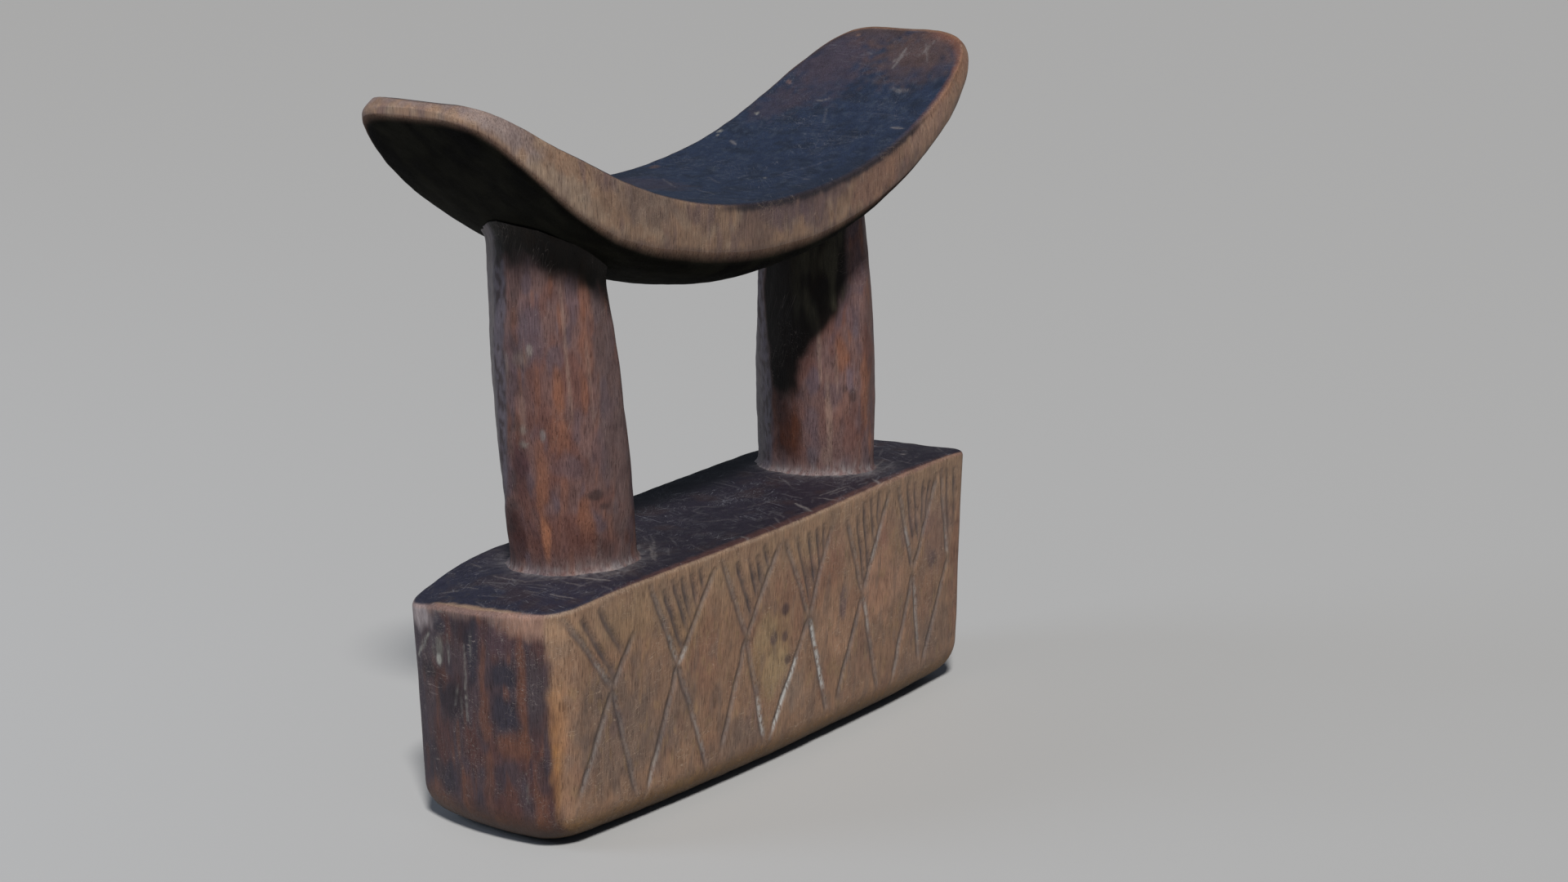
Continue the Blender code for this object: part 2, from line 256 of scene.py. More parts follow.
# One row for each cross: where its lines meet, the outer ends of its left and right arms and of its
# left and right legs, and the start and end of each hatch line. All are (x, z) in millimetres.
CROSSES = (
    (
        (-65.0, 38.1), (-81.1, 58.6), (-58.6, 50.2), (-76.0, 12.5), (-55.5, 7.8),
        (((-75.7, 57.6), (-63.9, 41.1)), ((-70.0, 58.9), (-61.6, 46.1))),
    ),
    (
        (-41.4, 38.1), (-52.2, 60.3), (-28.9, 59.2), (-51.8, 8.5), (-29.0, 7.1),
        (
            ((-47.1, 58.0), (-39.1, 40.8)), ((-44.1, 60.0), (-38.0, 46.5)),
            ((-41.1, 59.6), (-36.6, 48.5)), ((-37.4, 59.8), (-34.4, 51.5)),
            ((-34.0, 60.3), (-32.3, 55.0)),
        ),
    ),
    (
        (-15.3, 38.6), (-25.6, 60.3), (-3.3, 59.6), (-24.2, 11.1), (-6.7, 8.4),
        (
            ((-19.9, 58.6), (-12.6, 43.0)), ((-15.2, 58.6), (-10.6, 47.5)),
            ((-12.1, 58.6), (-9.0, 50.5)), ((-9.0, 60.3), (-6.2, 54.5)),
        ),
    ),
    (
        (10.8, 37.4), (0.2, 59.4), (19.3, 58.3), (-3.8, 10.3), (21.2, 7.8),
        (
            ((5.0, 59.5), (12.0, 40.1)), ((9.8, 59.4), (13.6, 45.5)), ((13.5, 59.6), (16.0, 48.5)),
            ((16.5, 60.3), (17.2, 52.0)),
        ),
    ),
    (
        (35.3, 37.4), (26.9, 58.8), (46.0, 62.3), (25.2, 11.8), (44.8, 7.8),
        (
            ((31.6, 59.0), (36.1, 40.1)), ((34.3, 62.0), (38.2, 41.5)), ((37.7, 62.3), (39.8, 51.5)),
            ((41.1, 63.0), (41.9, 54.5)),
        ),
    ),
    (
        (60.0, 37.6), (50.8, 62.0), (70.3, 61.6), (51.8, 9.3), (64.9, 10.5),
        (
            ((55.2, 62.3), (60.2, 45.5)), ((59.2, 61.6), (61.8, 47.0)), ((63.6, 61.3), (63.9, 49.5)),
            ((66.8, 60.5), (65.5, 50.5)),
        ),
    ),
    (
        (78.2, 37.0), (72.7, 62.3), None, (67.3, 9.8), None,
        (((76.1, 61.4), (78.6, 43.0)), ((79.8, 61.2), (81.6, 47.5))),
    ),
)
# How deep and wide the knife went, for the crosses' own lines and for the hatching
LINE_CUT, HATCH_CUT = (0.52, 1.02), (0.62, 0.92)
# The lines that still hold a chalky deposit: which cross, which line (0 and 1 are its arms, 2 and 3
# its legs), the stretch along it as shares of its length, and how strong
CHALKED = (
    (3, 2, 0.35, 1.0, 1.0), (3, 3, 0.05, 0.75, 1.0), (2, 3, 0.58, 0.95, 0.75), (1, 1, 0.80, 1.0, 0.55),
    (1, 0, 0.60, 0.95, 0.3), (1, 2, 0.65, 1.0, 0.35), (1, 3, 0.45, 0.9, 0.25), (0, 2, 0.3, 0.95, 0.2),
    (4, 1, 0.3, 0.7, 0.35), (4, 3, 0.05, 0.4, 0.45), (5, 0, 0.45, 0.75, 0.45), (5, 3, 0.15, 0.8, 0.35),
    (5, 2, 0.6, 1.0, 0.25), (6, 0, 0.6, 1.0, 0.3), (0, 0, 0.6, 0.9, 0.3),
)


def knife_cuts():
    """Every knife line: start, end, depth, half width and a list of chalked stretches."""
    cuts = []
    for n, (meet, left_arm, right_arm, left_leg, right_leg, hatching) in enumerate(CROSSES):
        for which, end in enumerate((left_arm, right_arm, left_leg, right_leg)):
            if end is None:
                continue
            start, stop = (end, meet) if which < 2 else (meet, end)
            chalk_and_highlight = [row[2:] for row in CHALKED if row[:2] == (n, which)]
            cuts.append((start, stop, *LINE_CUT, chalk_and_highlight))
        for start, stop in hatching:
            cuts.append((start, stop, *HATCH_CUT, []))
    return cuts


def carve_front(points):
    """How deep the knife work is at each point of the front, how much chalk and painted highlight it
    holds, and how much dirt and painted shade.
    """
    depth, chalk_and_highlight, groove_dirt_and_shade = np.zeros(len(points)), np.zeros(len(points)), np.zeros(len(points))
    wander = lumps(points, 9.0, 3, 2) * 0.35
    uneven = 1.0 + 0.35 * lumps(points, 5.0, 4, 2)
    x, z = points[:, 0] + wander, points[:, 2]
    for (x0, z0), (x1, z1), deep, half_width, chalked in knife_cuts():
        dx, dz = x1 - x0, z1 - z0
        long = math.hypot(dx, dz)
        along = np.clip(((x - x0) * dx + (z - z0) * dz) / long**2, 0, 1)
        off = ((x - x0) - along * dx) * dz / long - ((z - z0) - along * dz) * dx / long
        away = np.hypot(x - x0 - along * dx, z - z0 - along * dz)
        ends = smooth_step(0, 2.5, along * long) * 0.5 + 0.5
        ends *= smooth_step(0, 3.0, (1 - along) * long) * 0.6 + 0.4
        width = half_width * (0.75 + 0.30 * uneven)
        cut = np.maximum(0, 1 - (away / (1.25 * width)) ** 1.4) * deep * ends * uneven
        depth = np.maximum(depth, cut)
        # Dirt and painted shade lie along the left wall of each line, which faces away from the key
        # light, and the wall that faces the left, towards the key light, stays paler
        beyond = np.maximum(away - np.abs(off), 0)
        is_hatch = deep == HATCH_CUT[0]
        reach, heavy = (0.92, 1.0) if is_hatch else (0.62, 0.80)
        wall_dirt_and_shade = heavy * np.exp(-(((off - 0.15) / reach) ** 2) - beyond**2)
        lit_wall = 0.66 if dx * dz > 0 else 0.48
        wall_dirt_and_shade = np.maximum(wall_dirt_and_shade, lit_wall * np.exp(-(((off + 0.25) / 0.95) ** 4) - beyond**2))
        groove_dirt_and_shade = np.maximum(groove_dirt_and_shade, wall_dirt_and_shade * ends * (0.55 + 0.45 * uneven))
        # A faint grey on the right wall of each main line, the wall the key light falls on, is a painted
        # highlight
        lit_wall_highlight = 0.0 if is_hatch else 0.12 * np.exp(-(((off + 0.50) / 0.45) ** 2) - beyond**2) * ends
        chalk_and_highlight = np.maximum(chalk_and_highlight, lit_wall_highlight)
        for first, last, amount in chalked:
            spread = smooth_step(first - 0.06, first + 0.06, along)
            spread *= 1 - smooth_step(last - 0.08, last + 0.04, along)
            bright = spread * np.exp(-(((off + 0.40) / 0.50) ** 2)) * (away < 2.2) * amount
            chalk_and_highlight = np.maximum(chalk_and_highlight, bright)
    return depth, chalk_and_highlight, groove_dirt_and_shade


def mix(base, other, share):
    """Blends a colour, or one colour a point, into the base by each point's share."""
    return base + (np.asarray(other, float) - base) * share[:, None]


# No real surface is blacker than this
DARKEST = 0.004


def build_piece(name, points, faces, paint, marks):
    """A mesh from millimetre points, with its painted colour and its named marks on its points."""
    mesh = bpy.data.meshes.new(name)
    mesh.vertices.add(len(points))
    mesh.vertices.foreach_set("co", (points * MM).astype(np.float32).ravel())
    mesh.loops.add(faces.size)
    mesh.loops.foreach_set("vertex_index", faces.astype(np.int32).ravel())
    mesh.polygons.add(len(faces))
    mesh.polygons.foreach_set("loop_start", np.arange(len(faces), dtype=np.int32) * 4)
    mesh.polygons.foreach_set("loop_total", np.full(len(faces), 4, dtype=np.int32))
    mesh.update(calc_edges=True)
    mesh.validate()
    mesh.shade_smooth()
    coat = mesh.attributes.new("paint", "FLOAT_COLOR", "POINT")
    colour = np.ones((len(points), 4), np.float32)
    colour[:, :3] = np.clip(paint, DARKEST, 1.0)
    coat.data.foreach_set("color", colour.ravel())
    for mark, amount in marks.items():
        layer = mesh.attributes.new(mark, "FLOAT", "POINT")
        layer.data.foreach_set("value", np.clip(amount, 0, 1).astype(np.float32))
    piece = bpy.data.objects.new(name, mesh)
    bpy.context.scene.collection.objects.link(piece)
    return piece


def wire(tree, kind, inputs=None, out=0, **settings):
    """Adds a shader node, sets or links its inputs by name or number, and returns one output."""
    made = tree.nodes.new("ShaderNode" + kind)
    for key, value in settings.items():
        setattr(made, key, value)
    for key, value in (inputs or {}).items():
        if isinstance(value, bpy.types.NodeSocket):
            tree.links.new(value, made.inputs[key])
        else:
            made.inputs[key].default_value = value
    return made.outputs[out]


def sum_of(tree, a, b):
    return wire(tree, "Math", {0: a, 1: b}, operation="ADD")


def times(tree, a, b):
    return wire(tree, "Math", {0: a, 1: b}, operation="MULTIPLY")


def between(tree, value, low, high, to_low=0.0, to_high=1.0):
    """Maps value from low..high onto to_low..to_high with a smooth ramp."""
    inputs = {"Value": value, "From Min": low, "From Max": high, "To Min": to_low, "To Max": to_high}
    return wire(tree, "MapRange", inputs, interpolation_type="SMOOTHSTEP")


def tint(tree, share, base, other, mode="MIX"):
    return wire(tree, "Mix", {0: share, 6: base, 7: other}, out=2, data_type="RGBA", blend_type=mode)


def stretched(tree, scale, turn=(0, 0, 0)):
    """The piece's own coordinates, turned and then scaled, in lumps per metre."""
    where = wire(tree, "TexCoord", out=3)
    turned = wire(tree, "Mapping", {0: where, 2: turn})
    return wire(tree, "Mapping", {0: turned, 3: scale})


def uneven(tree, scale, turn=(0, 0, 0), detail=3.0, rough=0.55):
    where = stretched(tree, scale, turn)
    return wire(tree, "TexNoise", {"Vector": where, "Scale": 1.0, "Detail": detail, "Roughness": rough})


def scratch_lines(tree, turns, length, gap, fine=0.012):
    """Thin tapering scratches: the narrow contours of a field that is drawn out along each turn."""
    total = None
    for turn in turns:
        field = uneven(tree, (length, gap, gap), turn, 1.0, 0.4)
        off = wire(tree, "Math", {0: field, 1: 0.5}, operation="SUBTRACT")
        line = between(tree, wire(tree, "Math", {0: off}, operation="ABSOLUTE"), 0.0, fine, 1.0, 0.0)
        here = between(tree, uneven(tree, (70, 90, 80), (turn[0], turn[1], turn[2] + 1), 1.0), 0.54, 0.64)
        line = times(tree, line, here)
        total = line if total is None else wire(tree, "Math", {0: total, 1: line}, operation="MAXIMUM")
    return total


# What each piece carries on its points beside its painted colour
MARKS = ("groove", "chalk_and_highlight", "patina")


def wood_finish(name, roughness, gloss, scratch_turns, scratch_amount, fibre_depth=1.0):
    """Old hand-rubbed wood. The painted colour is broken up by upright fibres, pores and scratches."""
    material = bpy.data.materials.new(name)
    material.use_nodes = True
    tree = material.node_tree
    shader = tree.nodes["Principled BSDF"]
    paint = wire(tree, "Attribute", attribute_name="paint")
    mark = {n: wire(tree, "Attribute", out=2, attribute_name=n) for n in MARKS}
    fine = uneven(tree, (3600, 3600, 260), detail=3.0, rough=0.6)
    streak = uneven(tree, (900, 900, 70), detail=4.0, rough=0.6)
    cloud = uneven(tree, (260, 260, 190), detail=5.0, rough=0.65)
    pore = between(tree, uneven(tree, (3000, 3000, 330), detail=1.0), 0.60, 0.72)
    grit = uneven(tree, (3200, 3200, 3200), detail=2.0, rough=0.7)

    fibres = between(tree, fine, 0.30, 0.70, 0.60, 0.0)
    colour = tint(tree, fibres, paint, (0.42, 0.38, 0.38, 1), "MULTIPLY")
    streaks = between(tree, streak, 0.35, 0.68, 0.0, 0.24)
    colour = tint(tree, streaks, colour, (0.62, 0.52, 0.50, 1), "MULTIPLY")
    paler = between(tree, cloud, 0.45, 0.65, 0.0, 0.30)
    colour = tint(tree, paler, colour, (1.45, 1.35, 1.25, 1), "MULTIPLY")
    darker = between(tree, cloud, 0.50, 0.32, 0.0, 0.35)
    colour = tint(tree, darker, colour, (0.55, 0.50, 0.52, 1), "MULTIPLY")
    colour = tint(tree, times(tree, pore, 0.45), colour, (0.25, 0.20, 0.19, 1), "MULTIPLY")
    lines = scratch_lines(tree, scratch_turns, 38, 900)
    lines = times(tree, lines, scratch_amount)
    pale_scratch = tint(tree, mark["patina"], (0.36, 0.27, 0.20, 1), (0.15, 0.15, 0.175, 1))
    colour = tint(tree, lines, colour, pale_scratch)
    # Dirt and painted shade in the knife lines darken the colour
    groove_dirt_and_shade = times(tree, mark["groove"], between(tree, cloud, 0.3, 0.6, 0.92, 0.68))
    colour = tint(tree, groove_dirt_and_shade, colour, (0.055, 0.046, 0.049, 1))
    # Chalk, and the painted highlight on the lit wall of the knife lines, show as pale grey flecks
    flecks = uneven(tree, (1500, 1500, 700), detail=3.0)
    chalk_dust_and_highlight = times(tree, mark["chalk_and_highlight"], between(tree, flecks, 0.30, 0.56))
    colour = tint(tree, chalk_dust_and_highlight, colour, (0.36, 0.36, 0.35, 1))
    tree.links.new(colour, shader.inputs["Base Color"])

    rough = sum_of(tree, roughness, between(tree, fine, 0.3, 0.7, -0.08, 0.08))
    rough = sum_of(tree, rough, times(tree, mark["patina"], -0.10))
    rough = sum_of(tree, rough, times(tree, sum_of(tree, chalk_dust_and_highlight, lines), 0.25))
    tree.links.new(rough, shader.inputs["Roughness"])
    shader.inputs["Specular IOR Level"].default_value = gloss

    height = sum_of(tree, times(tree, fine, 0.8 * fibre_depth), times(tree, streak, 0.7 * fibre_depth))
    height = sum_of(tree, height, times(tree, grit, 0.30))
    height = sum_of(tree, height, times(tree, sum_of(tree, pore, lines), -0.45))
    bump = wire(tree, "Bump", {"Strength": 0.6, "Distance": 0.00022, "Height": height})
    tree.links.new(bump, shader.inputs["Normal"])
    return material


def stain(paint, u, v, ragged, rows):
    """Paints soft ragged patches: each row is a centre, two half sizes, a colour and a strength."""
    for u0, v0, du, dv, colour, strength in rows:
        away = np.hypot((u - u0) / du, (v - v0) / dv) + 0.40 * ragged
        paint = mix(paint, colour, strength * (1 - smooth_step(0.45, 1.15, away)))
    return paint


def strokes(u, v, rows):
    """Thin straight scratches: each row is its two ends, its half width and its strength."""
    total = np.zeros(len(u))
    for u0, v0, u1, v1, half_width, strength in rows:
        du, dv = u1 - u0, v1 - v0
        along = np.clip(((u - u0) * du + (v - v0) * dv) / (du * du + dv * dv), 0, 1)
        away = np.hypot(u - u0 - along * du, v - v0 - along * dv)
        thin = half_width * (0.45 + 0.55 * np.sin(math.pi * np.clip(along, 0.08, 0.92)))
        total = np.maximum(total, strength * np.exp(-((away / thin) ** 2)))
    return total


TAN = (0.238, 0.148, 0.097)
RED_TAN = (0.212, 0.116, 0.080)
PINK_TAN = (0.192, 0.120, 0.104)
YELLOW_TAN = (0.250, 0.168, 0.095)
PALE_YELLOW = (0.312, 0.234, 0.136)
GREY_TAN = (0.150, 0.109, 0.089)
GOLD = (0.330, 0.168, 0.062)
DARK_SPOT = (0.075, 0.050, 0.052)
WORN_RIM = (0.244, 0.178, 0.130)
PINK_RIM = (0.216, 0.130, 0.108)
BLACK_PATINA = (0.017, 0.014, 0.023)
UPPER_FRONT_TAN = (0.275, 0.190, 0.125)
FOOT_GOLD = (0.200, 0.106, 0.029)
FOOT_SHADE_BLACK = (0.032, 0.017, 0.006)
END_FOOT_BROWN = (0.115, 0.052, 0.024)
END_FOOT_SHADE_BLACK = (0.030, 0.017, 0.008)
END_TOP_PINK = (0.190, 0.132, 0.114)
CORNER_HIGHLIGHT = (0.300, 0.265, 0.272)
END_TOP_TAN = (0.290, 0.180, 0.135)
TOP_BLUE = (0.020, 0.021, 0.037)
TOP_BROWN = (0.034, 0.022, 0.023)
TOP_GREY = (0.036, 0.034, 0.042)
TOP_EDGE_RED = (0.070, 0.036, 0.034)
NICK_GREY = (0.175, 0.168, 0.178)
TOP_SHADED = (0.006, 0.006, 0.009)
SCRATCH_PALE = (0.190, 0.178, 0.176)
SCRATCH_GREY = (0.150, 0.145, 0.155)
# Patches on the front: where along it and how high, half sizes, colour, strength
FRONT_STAINS = (
    (-60, 26, 20, 18, GREY_TAN, 0.75), (-18, 12, 12, 9, GREY_TAN, 0.55),
    (70, 18, 14, 14, GREY_TAN, 0.5), (-40, 24, 9, 10, GREY_TAN, 0.4), (35, 20, 6, 9, GREY_TAN, 0.35),
    (-70, 38, 9, 8, GREY_TAN, 0.5), (-58, 54, 13, 8, YELLOW_TAN, 0.6),
    (-39, 48, 8, 9, YELLOW_TAN, 0.5), (-47, 33, 5, 10, TAN, 0.5), (-31, 38, 8, 10, RED_TAN, 0.6),
    (2, 49, 11, 8, RED_TAN, 0.6), (20, 50, 8, 10, RED_TAN, 0.8),
    (23, 55, 5, 6, (0.21, 0.100, 0.080), 0.6), (45, 54, 6, 6, (0.22, 0.11, 0.09), 0.6),
    (45, 37, 11, 11, (0.34, 0.200, 0.135), 0.65), (22, 33, 10, 12, (0.33, 0.200, 0.130), 0.6),
    (47, 25, 8, 10, TAN, 0.4), (60, 54, 12, 8, PINK_TAN, 0.7), (72, 45, 9, 12, PINK_TAN, 0.5),
    (84, 38, 5, 26, RED_TAN, 0.7), (66, 30, 6, 10, RED_TAN, 0.4), (-6, 31, 10, 13, YELLOW_TAN, 0.75),
    (-3, 27, 6, 8, PALE_YELLOW, 0.6), (-8, 38, 5, 5, PALE_YELLOW, 0.45),
    (-12, 20, 5, 7, PINK_TAN, 0.4), (5, 20, 6, 8, (0.25, 0.19, 0.15), 0.5),
    (0.1, 42.5, 1.6, 2.1, DARK_SPOT, 0.8), (-4.5, 35.6, 1.8, 1.9, DARK_SPOT, 0.8),
    (0.3, 34.9, 1.5, 1.8, DARK_SPOT, 0.75), (2.0, 28.5, 1.4, 1.7, DARK_SPOT, 0.75),
    (26.6, 37.5, 1.9, 5.0, (0.11, 0.08, 0.09), 0.7), (69.6, 38.8, 3.2, 2.8, (0.10, 0.07, 0.07), 0.65),
    (-74, 27, 2, 3, (0.12, 0.09, 0.08), 0.5), (-63, 30, 4, 4, (0.13, 0.09, 0.085), 0.5),
    (-26, 58, 8, 3, YELLOW_TAN, 0.5), (8, 57, 8, 4, YELLOW_TAN, 0.5), (-39, 6, 6, 2, PALE_YELLOW, 0.4),
)
END_WOOD = (0.053, 0.036, 0.042)
END_ORANGE = (0.112, 0.050, 0.033)
END_RED = (0.067, 0.029, 0.025)
END_SLATE = (0.028, 0.025, 0.036)
END_BLACK = (0.016, 0.012, 0.018)
END_VIOLET = (0.042, 0.033, 0.045)
CHIP_PALE = (0.240, 0.245, 0.225)
# Patches on the left end: across it and how high, half sizes, colour, strength
END_STAINS = (
    (22, 32, 6, 30, END_VIOLET, 0.8), (15, 52, 7, 8, END_VIOLET, 0.5),
    (-13.9, 40, 1.6, 24, END_ORANGE, 0.85), (-3.0, 32, 2.6, 9, END_ORANGE, 0.75),
    (-3.5, 16, 2.2, 12, END_ORANGE, 0.6), (-11, 26.5, 6, 4.5, END_ORANGE, 0.8),
    (-17.5, 13, 2.0, 11, END_ORANGE, 0.6), (4, 12, 3, 7, END_ORANGE, 0.5),
    (-8, 11, 5, 8, END_RED, 0.7), (11, 39.5, 5, 2.6, END_RED, 0.9), (1, 24, 4, 6, END_RED, 0.7),
    (13, 24, 3, 7, END_RED, 0.5), (-12, 56, 4, 5, END_RED, 0.5), (14, 8, 5, 5, END_ORANGE, 0.5),
    (-8.8, 44.0, 4.6, 3.6, END_SLATE, 1.0), (-8.8, 34.3, 4.8, 5.6, END_SLATE, 1.0),
    (-17.7, 40, 3.0, 15, (0.046, 0.036, 0.042), 0.9), (-18.2, 20, 1.8, 7, END_SLATE, 0.6),
    (8, 35.0, 6.2, 6.8, END_BLACK, 0.75), (0.2, 50, 2.6, 9, END_SLATE, 0.95),
    (3.5, 53, 4, 4, END_BLACK, 0.6), (-7.5, 52.5, 5.6, 4, (0.060, 0.036, 0.045), 0.8),
    (16.5, 40, 3.4, 3.2, END_BLACK, 0.8), (11, 53, 3, 3, END_SLATE, 0.8),
    (10.5, 14, 3.4, 5, END_SLATE, 0.75), (-7, 18, 2.4, 4, END_SLATE, 0.6),
    (0, 10, 2.2, 4, END_SLATE, 0.45), (17, 18, 2.4, 6, END_SLATE, 0.5),
    (11.2, 47.2, 1.7, 4.8, (0.120, 0.117, 0.106), 0.8),
    (11.6, 44.0, 1.0, 1.5, (0.32, 0.33, 0.30), 0.9), (18, 55, 6, 5.5, (0.285, 0.250, 0.255), 0.9),
    (-23, 54, 4, 8, WORN_RIM, 0.5),
)
END_SCRATCHES = (
    (20.5, 42.8, 15.5, 49.6, 0.75, 0.8), (2.6, 30.5, 2.4, 49.5, 0.45, 0.6),
    (8.0, 43.5, 8.1, 51.0, 0.45, 0.5), (0.2, 46.0, 0.3, 53.5, 0.35, 0.4),
    (6.6, 33.5, 5.2, 39.0, 0.45, 0.35), (4.4, 31.0, 4.2, 37.5, 0.35, 0.35),
    (13.6, 43.0, 14.0, 49.0, 0.45, 0.4), (-14.0, 13.0, -14.4, 18.0, 0.45, 0.35),
    (12.0, 56.2, 8.5, 56.8, 0.4, 0.4),
)
# Light scratches across the top of the block: ends (x, y), half width, strength
TOP_SCRATCHES = (
    (-67.0, 10.6, -67.6, -0.6, 0.35, 0.45), (-72.6, -12.4, -73.0, -20.0, 0.40, 0.6),
    (-60.0, -10.6, -59.8, -20.0, 0.55, 0.75), (-64.8, -10.6, -65.3, -17.0, 0.35, 0.4),
    (-30.6, -8.8, -40.6, -17.6, 0.35, 0.5), (-34.7, -13.5, -41.2, -18.8, 0.35, 0.4),
    (-27, -7, -33, -12, 0.3, 0.3), (17.0, -18.0, 12.4, -26.5, 0.50, 0.75),
    (23.5, -20.6, 23.0, -26.5, 0.40, 0.45), (-14.7, -25.0, -16.0, -28.8, 0.50, 0.6),
    (43.5, -23.5, 40.0, -29.4, 0.45, 0.75), (25.3, -19.4, 35.9, -21.2, 0.35, 0.5),
    (27.0, -21.4, 33.0, -22.6, 0.3, 0.4), (46.5, -17.6, 60.6, -11.2, 0.40, 0.55),
    (52.0, -17.0, 64.0, -13.0, 0.3, 0.35), (41.0, -16.0, 50.0, -19.5, 0.35, 0.4),
    (71.0, -14.2, 71.6, -13.4, 0.90, 0.8), (-61.8, 23.0, -62.7, 18.0, 0.35, 0.35),
    (-75.0, 14.0, -75.5, 8.0, 0.3, 0.3), (-72.6, -4.0, -73.0, -9.0, 0.35, 0.3),
    (-79.0, 17.0, -77.5, 12.5, 0.4, 0.35), (-70.0, 4.0, -62.0, -8.0, 0.3, 0.3),
    (-62.0, -14.0, -50.0, -18.5, 0.3, 0.35), (-57.0, -17.0, -46.0, -19.5, 0.3, 0.3),
    (4.0, 6.0, 8.0, -2.0, 0.3, 0.25), (-8.0, -4.0, -2.0, -12.0, 0.3, 0.22),
    (36.0, 6.0, 33.0, -4.0, 0.3, 0.25), (8.0, -8.0, 20.0, -12.0, 0.3, 0.2),
)
# Where crowds of fine scratches lie on the top: middle (x, y), reach, how many, and their run in degrees
SCRATCHED = (
    (-70, -2, 7, 12, 26, 85), (-57, -16, 9, 3.5, 14, 20), (-30, -12, 6, 5, 9, 45),
    (0, -5, 18, 10, 14, 60), (50, -18, 10, 3.5, 22, 15), (33, -8, 5, 10, 14, 100),
    (70, -8, 7, 12, 12, 50), (15, -22, 16, 3, 10, 55),
)
POST_FEET = ((-47.0, 1.9, 14.2, 16.4), (51.1, 0.7, 9.3, 17.6))


def scattered_scratches():
    """Fine scratches strewn over the worn places, in the same rows as the ones drawn singly."""
    chance = np.random.default_rng(12)
    rows = []
    for x, y, reach_x, reach_y, count, run in SCRATCHED:
        for _ in range(count):
            u, v = chance.normal(x, reach_x), chance.normal(y, reach_y)
            turn, long = math.radians(chance.normal(run, 22)), chance.uniform(1.5, 5.0)
            du, dv = long * math.cos(turn), long * math.sin(turn)
            wide, strength = chance.uniform(0.18, 0.30), chance.uniform(0.15, 0.42)
            rows.append((u - du, v - dv, u + du, v + dv, wide, strength))
    return rows


